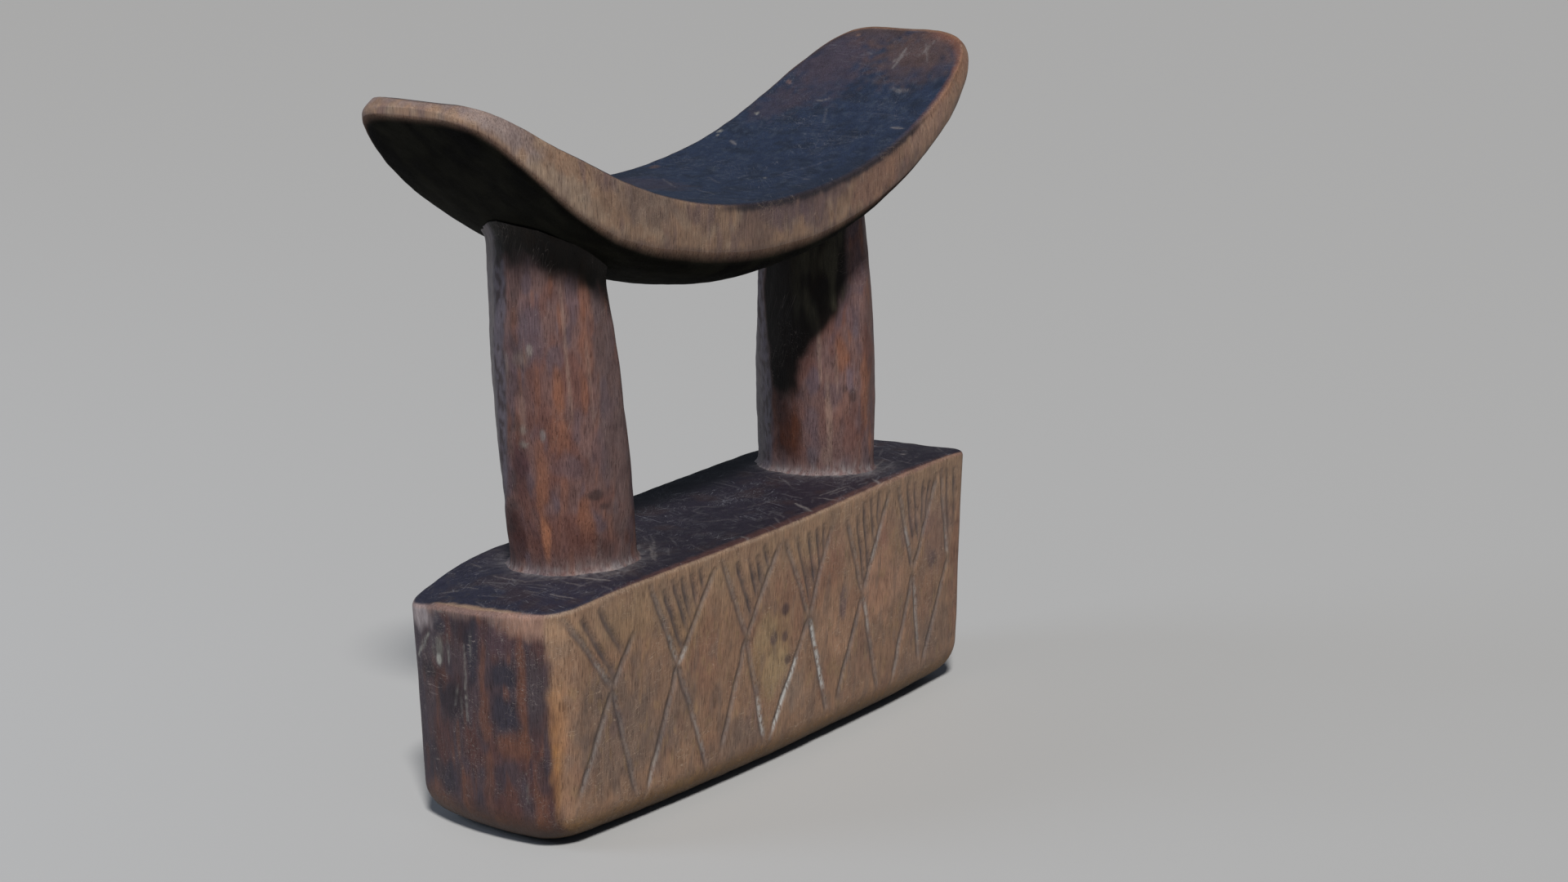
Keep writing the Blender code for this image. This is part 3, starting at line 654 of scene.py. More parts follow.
def paint_block(p, out):
    """Where the block is tan, worn, red, gold or black, from the way each part of it has aged."""
    x, y, z = p.T
    n = len(p)
    ragged = lumps(p, (3.2, 3.2, 7.0), 11, 2)
    streak = lumps(p, (3.0, 3.0, 40), 24, 2)
    turned = smooth_step(0.12, 0.5, -out[:, 0])
    left = turned * smooth_step(-21.6, -19.2, y + 0.9 * ragged) * (x < 0)
    right = smooth_step(0.45, 0.8, out[:, 0])
    up = smooth_step(0.55, 0.85, out[:, 2] + 0.06 * ragged) * smooth_step(-85.6, -83.9, x + 0.5 * ragged)
    back = smooth_step(0.5, 0.8, out[:, 1])

    paint = np.tile(np.array(TAN), (n, 1))
    paint = mix(paint, RED_TAN, 0.5 * smooth_step(0.0, 0.5, lumps(p, (9, 9, 12), 21, 2)))
    paint = mix(paint, GREY_TAN, 0.5 * smooth_step(0.05, 0.5, lumps(p, (7, 7, 10), 22, 2)))
    paint = stain(paint, x, z, ragged, FRONT_STAINS)
    paint = mix(paint, GREY_TAN, 0.45 * smooth_step(0.2, 0.6, lumps(p, (2.6, 2.6, 9), 23, 2)))
    paint = mix(paint, YELLOW_TAN, 0.45 * smooth_step(0.25, 0.6, lumps(p, (2.2, 2.2, 5), 25, 2)))
    turning = smooth_step(0.05, 0.45, out[:, 0] * out[:, 1] * 2) * (x < 0) * (y < 0)
    turning *= smooth_step(52, 22, z + 8 * streak) * smooth_step(3, 9, z)
    turning *= smooth_step(-78.8, -81.4, x + streak)
    paint = mix(paint, GOLD, np.clip(turning * (1.0 + 0.6 * streak), 0, 1))
    # The front is painted paler towards its top
    paint = mix(paint, UPPER_FRONT_TAN, 0.5 * smooth_step(46, 56, z + 4 * streak))
    paint = mix(paint, FOOT_GOLD, 0.85 * smooth_step(9.5, 4.5, z + 0.8 * ragged))
    # Painted shade: the foot of the block is painted near black where it meets the floor
    paint = mix(paint, FOOT_SHADE_BLACK, 0.95 * smooth_step(6.4, 1.6, z))

    end = np.tile(np.array(END_WOOD), (n, 1))
    end = mix(end, END_RED, 0.6 * smooth_step(0.0, 0.4, lumps(p, (4, 4, 14), 31, 2)))
    end = mix(end, END_VIOLET, 0.6 * smooth_step(0.1, 0.5, lumps(p, (3, 3, 12), 32, 2)))
    end = mix(end, END_ORANGE, 0.6 * smooth_step(0.15, 0.5, lumps(p, (2.2, 2.2, 16), 33, 2)))
    on_left = (x < 0).astype(float)
    worn = stain(end, y, z, ragged, END_STAINS)
    end = end + (worn - end) * on_left[:, None]
    broken = np.clip(0.62 + 0.9 * lumps(p, (0.9, 0.9, 1.3), 34, 2), 0, 1)
    end = mix(end, CHIP_PALE, on_left * broken * strokes(y + 0.3 * ragged, z, END_SCRATCHES))
    end = mix(end, END_FOOT_BROWN, 0.55 * smooth_step(12, 4, z))
    # Painted shade: the foot of each end is painted near black too
    end = mix(end, END_FOOT_SHADE_BLACK, 0.9 * smooth_step(6.5, 1.2, z))
    pink = smooth_step(55.6, 58.4, z + 1.5 * ragged + 0.05 * np.minimum(y, 0) + 0.06 * np.maximum(y, 0))
    end = mix(end, END_TOP_PINK, 0.65 * pink)
    # Painted highlight: a pale spot where the rim light grazes the top back corner of the left end
    corner = on_left * np.exp(-(((y - 23) / 4.0) ** 2) - ((z - 57.5) / 4.0) ** 2)
    end = mix(end, CORNER_HIGHLIGHT, 0.9 * corner)
    tan_rim = smooth_step(53.0, 56.5, z + 1.4 * ragged) * smooth_step(-6, -13, y)
    end = mix(end, END_TOP_TAN, 0.8 * tan_rim)
    paint = paint + (end - paint) * left[:, None]
    paint = paint + (mix(end, RED_TAN, np.full(n, 0.35)) - paint) * right[:, None]
    paint = mix(paint, GREY_TAN, 0.55 * back)

    rim = smooth_step(0.02, 0.30, out[:, 2]) * smooth_step(50, 56, z)
    rim = np.clip(rim * (0.85 + 0.5 * lumps(p, 5.0, 42, 2)), 0, 1)
    pinker = np.clip(smooth_step(15, 60, x) + left, 0, 1)
    worn_rim = mix(np.tile(np.array(WORN_RIM), (n, 1)), PINK_RIM, pinker)
    paint = paint + (worn_rim - paint) * (rim * (0.8 - 0.4 * left))[:, None]

    top = np.tile(np.array(BLACK_PATINA), (n, 1))
    top = mix(top, TOP_BLUE, smooth_step(-45, -75, x))
    top = mix(top, TOP_BROWN, 0.5 * smooth_step(0.1, 0.6, lumps(p, 9.0, 41, 2)))
    top = mix(top, TOP_GREY, 0.6 * smooth_step(0.15, 0.5, lumps(p, (2.0, 2.0, 2.0), 43, 2)))
    top = mix(top, TOP_EDGE_RED, 0.8 * smooth_step(-24.4, -26.4, y + 0.6 * ragged))
    worn_feet = np.zeros(n)
    for foot_x, foot_y, half_x, half_y in POST_FEET:
        # Light knife nicks run out from each foot, thickest where they meet the post
        round_foot = np.arctan2((y - foot_y) / half_y, (x - foot_x) / half_x)
        away = (np.hypot((x - foot_x) / half_x, (y - foot_y) / half_y) - 1.0) * 0.5 * (half_x + half_y)
        rays = np.stack([round_foot * 14, away, np.zeros(n)], -1)
        nicks = 0.42 + 0.75 * lumps(rays, (1.1, 4.5, 9.0), 44, 2)
        nicks += 0.35 * lumps(rays, (7.0, 9.0, 9.0), 45, 1)
        halo = np.exp(-np.maximum(away - 0.6, 0) / 2.4) * np.clip(nicks, 0, 1) * (away > -3)
        worn_feet = np.maximum(worn_feet, halo)
    top = mix(top, NICK_GREY, 0.95 * worn_feet)
    top = mix(top, TOP_SHADED, 0.9 * smooth_step(11, 21, y) * smooth_step(-42, -20, x))
    top = mix(top, SCRATCH_PALE, 0.9 * strokes(x + 0.5 * ragged, y, TOP_SCRATCHES))
    top = mix(top, SCRATCH_GREY, strokes(x + 0.3 * ragged, y, scattered_scratches()))
    paint = paint + (top - paint) * up[:, None]
    patina = np.clip(up + 0.6 * left, 0, 1)
    return paint, patina


BLOCK_CELLS = (430, 100, 150)


def make_base_block():
    places, faces = box_grid(BLOCK_CELLS)
    points = block_shape(places)
    out = face_directions(points, faces)
    front = smooth_step(0.6, 0.9, -out[:, 1])
    relief = 0.26 * lumps(points, (30, 30, 40), 1, 2) + 0.12 * lumps(points, (6, 6, 16), 2)
    depth, chalk_and_highlight, groove_dirt_and_shade = (mark * front for mark in carve_front(points))
    paint, patina = paint_block(points, out)
    points = points + out * (relief - depth)[:, None]
    points[:, 2] = np.maximum(points[:, 2], 0.0)
    centre = np.array([base_middle.x, base_middle.y, 0.0]) / MM
    points = np.clip(points + centre, np.array(base_low) / MM, np.array(base_high) / MM) - centre
    marks = dict(zip(MARKS, (groove_dirt_and_shade, chalk_and_highlight, patina)))
    piece = build_piece("carved_base_block", points + centre, faces, paint, marks)
    turns = ((0, 0, 0.4), (0, 0, 1.9), (0.5, 0, 2.7), (1.1, 0.3, 0.2))
    piece.data.materials.append(wood_finish("handled_block_wood", 0.58, 0.22, turns, 0.55))
    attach(piece, "root")
    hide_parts("base_block")


make_base_block()


# The head plate: a curved cradle with a full keel beneath, thick in the middle and thin at its raised
# ends. Its top is near black and smooth from use, tinted blue as a painted sheen, and its edge has
# worn back to fibrous tan wood. Its underside is painted near black as shade.
PLATE_MIDDLE = (-0.3, 0.5)
PLATE_HALF = (95.3, 28.2)
PLATE_LOW = 147.5
PLATE_DIP_X = 1.5
PLATE_RISE = {"left": (34.9, 2.16), "right": (30.7, 2.16)}
PLATE_THICK = 12.8
PLATE_TIP_THICK = (6.4, 6.1)
PLATE_KEEL = 9.6


# The front edge was left heavier over the left post: place along it, extra thickness
FRONT_EDGE_EXTRA = (
    (-90, 0), (-78, 1.5), (-66, 3.0), (-55, 3.2), (-45, 2.2), (-34, 0.7), (-20, 0.1), (0, 0),
)


def cradle(x):
    """Height and slope of the cradle's top along the plate, in millimetres."""
    run = PLATE_HALF[0] - PLATE_DIP_X * np.where(x > PLATE_DIP_X, 1.0, -1.0)
    u = (x - PLATE_DIP_X) / run
    rise = np.where(u > 0, PLATE_RISE["right"][0], PLATE_RISE["left"][0])
    power = np.where(u > 0, PLATE_RISE["right"][1], PLATE_RISE["left"][1])
    bend = np.abs(u) + 1e-9
    return PLATE_LOW + rise * bend**power, np.sign(u) * rise * power * bend ** (power - 1) / run


def plate_depths(x, y):
    """Thickness at the edge and with the keel, at a place in plan."""
    fade = np.clip(1 - (x / PLATE_HALF[0]) ** 2, 0, 1)
    tip = np.where(x < 0, PLATE_TIP_THICK[0], PLATE_TIP_THICK[1])
    edge = tip + (PLATE_THICK - tip) * fade
    across = np.clip(np.abs(y) / PLATE_HALF[1], 0, 1)
    crest = np.sqrt(1 - across**2)
    heavier = np.interp(x, *np.array(FRONT_EDGE_EXTRA).T)
    heavier = heavier * smooth_step(6, -10, y)
    # The keel is deepest a little left of the middle and dies away towards both ends
    from_deepest = np.where(x < -15.0, (x + 15.0) / 79.5, (x + 15.0) / 77.0)
    keel_fade = np.clip(1 - from_deepest**2, 0, 1) ** np.where(x < -15.0, 1.65, 1.40)
    return edge + heavier, edge + heavier * (1 - crest) + PLATE_KEEL * crest * keel_fade


def plate_shape(places):
    a, b, c = places.T
    ring = np.maximum(np.abs(a), np.abs(b))
    edge_a, edge_b = a / np.maximum(ring, 1e-6), b / np.maximum(ring, 1e-6)
    # The outline is a rectangle with full corners, roundest at the front left
    lean = np.where(edge_a > 0, 5.0, np.where(edge_b > 0, 4.9, 3.4))
    length = np.maximum((np.abs(edge_a) ** lean + np.abs(edge_b) ** lean) ** (1 / lean), 1e-6)
    half_long = PLATE_HALF[0] - np.where(edge_a > 0, 0.5, 0.1)
    x0, y0 = edge_a / length * half_long, edge_b / length * PLATE_HALF[1]
    x, y = x0 * ring, y0 * ring
    edge, full = plate_depths(x, y)
    t = (1 - c) / 2
    # Soft edges: the outermost ring of the top and bottom turns over a small round
    near_rim = np.clip((ring - 0.975) / 0.025, 0, 1)
    top_round, low_round = 0.45 * near_rim**2, 1.1 * np.clip((ring - 0.94) / 0.06, 0, 1) ** 2
    depth = np.where(c > 0.0, top_round, full - low_round)
    on_side = np.isclose(ring, 1.0)
    depth = np.where(on_side, 0.45 + t * (edge - 1.55), depth)
    swell = np.where(on_side, 0.35 * np.sin(math.pi * t), 0.0)
    z, slope = cradle(x)
    # The ends have dried with a slight twist, and the left one droops a little at its tip
    z = z - 0.45 * y / PLATE_HALF[1] * (x / PLATE_HALF[0]) ** 2
    z = z - 1.4 * np.clip((-x - 86.0) / 9.2, 0, 1) ** 2
    norm = np.sqrt(1 + slope**2)
    grow = 1 + swell / PLATE_HALF[1]
    return np.stack([x * grow + depth * slope / norm, y * grow, z - depth / norm], -1)


SHEEN_SLATE = (0.017, 0.027, 0.055)
SHEEN_NAVY = (0.013, 0.019, 0.034)
PLATE_VIOLET = (0.048, 0.037, 0.050)
PLATE_BROWN = (0.077, 0.048, 0.040)
LIP_ORANGE = (0.187, 0.079, 0.040)
EDGE_TAN = (0.205, 0.137, 0.096)
EDGE_CREAM = (0.255, 0.200, 0.152)
EDGE_PURPLE = (0.093, 0.064, 0.072)
UNDER_SHADE_BLACK = (0.004, 0.004, 0.003)
LIP_PURPLE = (0.055, 0.038, 0.040)
LIP_BLACK = (0.018, 0.016, 0.022)
EDGE_BROWN = (0.09, 0.06, 0.05)
SHEEN_BLUE = (0.032, 0.045, 0.072)
PLATE_SCRATCH = (0.17, 0.165, 0.17)
RIM_BLACK = (0.026, 0.020, 0.024)
RIM_BROWN = (0.05, 0.035, 0.035)
UNDER_OLIVE = (0.013, 0.013, 0.009)
UNDER_HAZE = (0.015, 0.015, 0.011)
# Patches on the cradle's top: where in plan, half sizes, colour, strength
PLATE_STAINS = (
    (78, 13, 19, 14, PLATE_VIOLET, 0.45), (82, 15, 12, 10, PLATE_VIOLET, 0.55),
    (62, 19, 10, 8, PLATE_VIOLET, 0.45), (-4, 12, 9, 16, PLATE_VIOLET, 0.4),
    (85, -9, 13, 16, PLATE_BROWN, 0.45), (87, -9, 8, 11, PLATE_BROWN, 0.5),
    (92, 6, 6, 12, PLATE_BROWN, 0.4), (5, 24, 9, 6, SHEEN_NAVY, 0.7),
    (20, -25, 30, 4, SHEEN_NAVY, 0.6), (-80, 0, 14, 26, PLATE_VIOLET, 0.6),
    (-88, 0, 7, 22, PLATE_BROWN, 0.6), (45.5, 25.8, 1.1, 0.8, CHIP_PALE, 0.6),
    (43.0, 24.6, 0.6, 0.5, CHIP_PALE, 0.5), (56.5, 21.9, 0.6, 0.6, CHIP_PALE, 0.7),
    (71.5, 22.4, 0.9, 0.8, (0.20, 0.12, 0.10), 0.6), (90.9, 13.8, 0.8, 0.8, (0.20, 0.12, 0.09), 0.6),
    (17.8, -10.0, 0.7, 0.6, CHIP_PALE, 0.4), (15.3, 23.8, 2.0, 1.6, PLATE_BROWN, 0.6),
)
PLATE_SCRATCHES = (
    (39.0, 15.6, 40.2, 18.2, 0.50, 0.8), (64.6, 8.8, 66.0, 5.2, 0.35, 0.6),
    (80.0, -5.6, 87.5, -4.6, 0.45, 0.8), (82.0, -3.4, 86.0, -6.4, 0.35, 0.6),
    (72.6, -10.6, 71.8, -14.0, 0.45, 0.75), (71.8, -14.0, 72.6, -16.4, 0.40, 0.6),
    (56.6, -21.6, 56.4, -25.4, 0.45, 0.7), (20.9, -19.6, 21.0, -22.0, 0.40, 0.4),
    (4.0, 12.0, -3.0, 2.0, 0.35, 0.3), (-2.0, -4.0, -6.0, -13.0, 0.35, 0.3),
    (12.0, 4.0, 8.0, -3.0, 0.35, 0.25), (85.0, -10.0, 92.0, -12.0, 0.35, 0.5),
    (84.0, -14.0, 90.0, -9.0, 0.35, 0.4), (62.0, 3.0, 55.0, -1.0, 0.3, 0.25),
    (28.0, -14.0, 36.0, -17.0, 0.3, 0.25),
)
# Patches on the edge: where along it and how far down from the top (0 to 1), half sizes, colour, strength
EDGE_STAINS = (
    (-76, 0.75, 13, 0.4, EDGE_CREAM, 0.65), (-88, 0.2, 9, 0.6, (0.120, 0.092, 0.085), 0.6),
    (-90, 0.3, 8, 0.7, (0.20, 0.165, 0.165), 0.6), (-50, 0.2, 13, 0.5, (0.125, 0.093, 0.080), 0.7),
    (0, 0.15, 14, 0.55, EDGE_PURPLE, 0.85), (14, 0.3, 8, 0.6, EDGE_PURPLE, 0.75),
    (24, 0.1, 6, 0.4, EDGE_PURPLE, 0.6), (-10, 0.6, 8, 0.6, (0.125, 0.083, 0.070), 0.7),
    (-30, 0.2, 5, 0.4, EDGE_PURPLE, 0.35), (-64, 0.1, 4, 0.3, EDGE_PURPLE, 0.4),
    (42, 0.5, 14, 0.7, (0.190, 0.108, 0.080), 0.7), (66, 0.3, 14, 0.7, (0.260, 0.165, 0.125), 0.6),
    (54, 0.8, 6, 0.4, EDGE_PURPLE, 0.4), (88, 0.4, 9, 0.7, (0.26, 0.15, 0.10), 0.6),
)


def paint_plate(p, places):
    """Near-black polish with a painted blue sheen on top, fibrous tan on the edge and painted shade
    beneath, with stains and scratches.
    """
    x, y = p.T[:2]
    a, b, c = places.T
    n = len(p)
    ring = np.maximum(np.abs(a), np.abs(b))
    ragged = lumps(p, (2.6, 2.6, 4.0), 61, 2)
    down = np.where(ring > 0.999, (1 - c) / 2, np.where(c > 0, 0.0, 1.0))
    edge = np.tile(np.array(EDGE_TAN), (n, 1))
    edge = mix(edge, EDGE_PURPLE, 0.5 * smooth_step(0.05, 0.5, lumps(p, (3.0, 3.0, 9.0), 63, 2)))
    edge = mix(edge, EDGE_CREAM, 0.4 * smooth_step(0.1, 0.5, lumps(p, (5.0, 5.0, 6.0), 64, 2)))
    edge = stain(edge, x, down, ragged, EDGE_STAINS)
    lip = smooth_step(0.30, 0.0, down + 0.12 * ragged)
    edge = mix(edge, LIP_PURPLE, 0.80 * lip * smooth_step(-25, 0, x) * smooth_step(66, 40, x))
    rolled = smooth_step(0.17, 0.05, down + 0.05 * ragged) * smooth_step(-35, -12, x)
    rolled *= smooth_step(74, 55, x)
    edge = mix(edge, LIP_BLACK, 0.9 * rolled)
    edge = mix(edge, LIP_ORANGE, 0.40 * lip * smooth_step(55, 80, x))
    edge = mix(edge, EDGE_BROWN, 0.6 * smooth_step(0.86, 1.0, down + 0.06 * ragged))

    # The near-black patina of the top is tinted blue: a painted sheen
    top_patina_and_sheen = np.tile(np.array(SHEEN_SLATE), (n, 1))
    top_patina_and_sheen = mix(top_patina_and_sheen, SHEEN_NAVY, 0.7 * smooth_step(-0.1, 0.5, lumps(p, (6, 6, 6), 65)))
    top_patina_and_sheen = mix(top_patina_and_sheen, SHEEN_BLUE, 0.6 * smooth_step(0.1, 0.5, lumps(p, (1.8, 1.8, 1.8), 66, 2)))
    top_patina_and_sheen = stain(top_patina_and_sheen, x, y, ragged, PLATE_STAINS)
    scratched = strokes(x + 0.6 * ragged, y + 0.4 * ragged, PLATE_SCRATCHES)
    top_patina_and_sheen = mix(top_patina_and_sheen, PLATE_SCRATCH, 0.8 * scratched)
    near = smooth_step(0.955, 0.99, ring + 0.010 * ragged)
    top_patina_and_sheen = mix(top_patina_and_sheen, LIP_ORANGE, 0.6 * near * smooth_step(45, 75, x) * smooth_step(-4, -15, y))
    top_patina_and_sheen = mix(top_patina_and_sheen, RIM_BLACK, 0.7 * near * smooth_step(60, 40, x) * (b < 0))
    top_patina_and_sheen = mix(top_patina_and_sheen, RIM_BROWN, 0.7 * near * (b > 0))
    # Painted shade: the underside is painted near black, with a faint olive and a faint haze left of the
    # middle
    under = np.tile(np.array(UNDER_SHADE_BLACK), (n, 1))
    under = mix(under, UNDER_OLIVE, 0.7 * smooth_step(-0.4, 0.6, lumps(p, (9, 6, 9), 67)))
    under = mix(under, UNDER_HAZE, 0.7 * np.exp(-(((x + 50) / 26) ** 2) - (y / 22) ** 2))

    on_top = (c > 0.999) * smooth_step(1.001, 0.985, ring)
    below = (c < -0.999) * smooth_step(1.001, 0.975, ring)
    paint = edge + (top_patina_and_sheen - edge) * on_top[:, None]
    paint = paint + (under - paint) * below[:, None]
    return paint, np.clip(on_top + 0.3 * below, 0, 1)


PLATE_CELLS = (300, 84, 20)


def make_head_plate():
    places, faces = box_grid(PLATE_CELLS)
    points = plate_shape(places)
    out = face_directions(points, faces)
    paint, patina = paint_plate(points, places)
    relief = 0.26 * lumps(points, (22, 16, 22), 51, 2) + 0.10 * lumps(points, 5.0, 52)
    relief -= 0.25 * smooth_step(0.85, 1.0, np.abs(places[:, 0]))
    points = points + out * relief[:, None]
    centre = np.array([*PLATE_MIDDLE, 0.0])
    plate_low, plate_high = (np.array(corner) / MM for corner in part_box("head_plate"))
    points = np.clip(points + centre, plate_low - (0, 0, 3.0), plate_high) - centre
    bare = np.zeros(len(points))
    marks = dict(zip(MARKS, (bare, bare, patina)))
    piece = build_piece("curved_head_plate", points + centre, faces, paint, marks)
    turns = ((0, 0, 0.3), (0, 0, 1.5), (0, 0, 2.4))
    piece.data.materials.append(wood_finish("handled_plate_wood", 0.55, 0.25, turns, 0.30))
    # The underside, painted near black as shade, gets a rough finish with almost no gloss
    piece.data.materials.append(wood_finish("shaded_plate_underside", 0.85, 0.03, turns, 0.0))
    height = places[faces, 2].max(1)
    piece.data.polygons.foreach_set("material_index", (height < -0.999).astype(np.int32))
    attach(piece, "root")
    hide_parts("head_plate")


make_head_plate()


# The posts: stout oval posts left standing between the plate and the block, adzed from foot to top so
# that flats meet in soft upright ridges. Ragged knife cuts circle each foot.
POSTS = {
    "left": ((-47.1, 1.9), (13.9, 16.1), (-57.6, 0.6), (11.8, 14.5)),
    "right": ((51.1, 0.7), (9.1, 17.3), (48.4, 0.6), (11.5, 13.6)),
}
POST_BELLY = 1.8


def under_plate_z(x, y):
    """Height of the plate's underside straight above a place, in the block's own coordinates."""
    px = x + base_middle.x / MM - PLATE_MIDDLE[0]
    py = y + base_middle.y / MM - PLATE_MIDDLE[1]
    top_x = px.copy()
    for _ in range(14):
        z, slope = cradle(top_x)
        norm = np.sqrt(1 + slope**2)
        depth = plate_depths(top_x, py)[1]
        top_x = top_x + px - (top_x + depth * slope / norm)
    z, slope = cradle(top_x)
    return z - plate_depths(top_x, py)[1] / np.sqrt(1 + slope**2)


def tube_faces(around, rows):
    """Faces of the side of a tube of rings."""
    i = np.arange(around)
    j = np.arange(rows - 1)[:, None]
    here, there = j * around + i, j * around + (i + 1) % around
    return np.stack([here, there, there + around, here + around], -1).reshape(-1, 4)


def tube_ends(around, rows):
    """Faces that close both ends of the tube, in strips from side to side."""
    i = np.arange(around // 2 - 1)
    low = np.stack([around - 1 - i, around - 2 - i, i + 1, i], -1)
    return np.concatenate([low, low[:, ::-1] + (rows - 1) * around])


POST_WOOD = (0.135, 0.083, 0.078)
POST_RED = (0.119, 0.056, 0.046)
POST_PURPLE = (0.089, 0.069, 0.086)
POST_ORANGE = (0.191, 0.086, 0.054)
POST_DARK = (0.033, 0.024, 0.026)
RIM_LIT_GREY = (0.105, 0.093, 0.115)
POST_SHADE_BLACK = (0.005, 0.005, 0.003)
POST_PALE = (0.247, 0.232, 0.206)
RIDGE_TAN = (0.224, 0.155, 0.129)
SHADOW_BLACK = (0.005, 0.004, 0.003)
SHADOW_OLIVE = (0.056, 0.053, 0.036)
FOOT_MAUVE = (0.100, 0.078, 0.084)
FRINGE_PALE = (0.20, 0.185, 0.19)
# The sharp ridge towards the left end: how far round it stands (degrees) at each height
RIDGES = {
    "left": (
        (60, 145), (72, 148), (80, 158), (90, 164), (100, 171), (115, 174), (125, 174), (146, 172),
    ),
    "right": (
        (60, 154), (70, 158), (80, 163), (90, 165), (97, 164), (104, 160), (112, 157), (125, 155),
        (146, 154),
    ),
}
# Patches on each post: how far round, how high, half sizes, colour, strength
POST_STAINS = {
    "left": (
        (205, 96, 34, 22, POST_RED, 0.35), (200, 72, 40, 9, POST_RED, 0.7),
        (272, 100, 24, 44, (0.120, 0.085, 0.084), 0.8), (217, 106, 6, 8, POST_ORANGE, 0.8),
        (182, 124, 5, 7, POST_ORANGE, 0.6), (197, 84, 7, 13, POST_ORANGE, 0.75),
        (195, 71, 5, 6, (0.34, 0.15, 0.085), 0.85), (231, 76, 8, 7, POST_ORANGE, 0.7),
        (215, 97, 11, 7, POST_ORANGE, 0.55), (246, 120, 9, 10, POST_ORANGE, 0.45),
        (227, 70, 14, 5, POST_RED, 0.6), (166, 71, 8, 7, (0.09, 0.040, 0.033), 0.8),
        (242, 82.2, 9, 1.5, POST_DARK, 0.7), (249, 79.2, 7, 1.2, POST_DARK, 0.6),
        (246, 68, 10, 5, POST_DARK, 0.35), (176, 87, 10, 9, (0.085, 0.040, 0.038), 0.75),
        (178, 117, 7, 7, (0.085, 0.060, 0.070), 0.7), (196, 123, 15, 8, POST_PURPLE, 0.75),
        (262, 105, 9, 6, POST_PURPLE, 0.5), (205, 101, 9, 6, POST_RED, 0.5),
        (250, 93, 8, 6, POST_PURPLE, 0.35), (222, 90, 16, 4, POST_PURPLE, 0.4),
        (195, 118.5, 3.0, 1.9, POST_PALE, 0.5), (183, 98, 4, 1.6, POST_PALE, 0.6),
        (182, 94.5, 5, 1.0, POST_PALE, 0.5), (201, 97.5, 2.6, 1.6, (0.20, 0.20, 0.20), 0.55),
        (171, 113, 3, 4, (0.2, 0.17, 0.16), 0.5), (227, 120, 2.4, 20, RIDGE_TAN, 0.5),
        (246, 112, 2.2, 14, RIDGE_TAN, 0.3), (184, 103, 3, 8, RIDGE_TAN, 0.35),
        (160, 133, 13, 9, POST_DARK, 0.9), (159, 108, 11, 30, (0.058, 0.050, 0.062), 0.7),
        (161, 70, 14, 9, (0.045, 0.020, 0.020), 0.8), (178, 89, 9, 5, (0.060, 0.030, 0.034), 0.8),
        (187, 116, 9, 3, (0.20, 0.16, 0.13), 0.4),
    ),
    "right": (
        (225, 78, 50, 16, POST_WOOD, 0.5), (235, 98, 8, 6, POST_ORANGE, 0.75),
        (262, 88, 9, 13, POST_ORANGE, 0.75), (176, 76, 16, 11.5, (0.048, 0.018, 0.012), 0.98),
        (184, 76, 6, 9, (0.085, 0.030, 0.016), 0.6), (241, 76, 10, 6, POST_RED, 0.5),
        (250, 108, 9, 6, POST_PURPLE, 0.6), (205, 91, 8, 5, POST_PURPLE, 0.7),
        (242, 92, 7, 4, (0.11, 0.09, 0.115), 0.7), (201, 80, 9, 5, POST_PURPLE, 0.5),
        (244, 87, 5, 2.0, POST_DARK, 0.6), (236, 89, 3, 1.4, POST_DARK, 0.5),
        (200, 70, 8, 3, (0.09, 0.085, 0.10), 0.5), (212, 104, 2.6, 15, RIDGE_TAN, 0.7),
        (218, 80, 3.4, 14, RIDGE_TAN, 0.7), (212, 70, 5, 3, RIDGE_TAN, 0.5),
        (228, 93, 2.4, 9, RIDGE_TAN, 0.35), (258, 78, 5, 7, POST_RED, 0.5),
        (262, 122, 12, 10, POST_PURPLE, 0.5), (200, 73, 9, 6, POST_PURPLE, 0.4),
    ),
}


# How far round the right post the painted shadow reaches: height, degrees
SHADOW_REACH = (
    (82, 187), (91, 189), (96, 192), (100, 200), (105, 215), (110, 232), (115, 242), (125, 251),
    (134, 253),
)


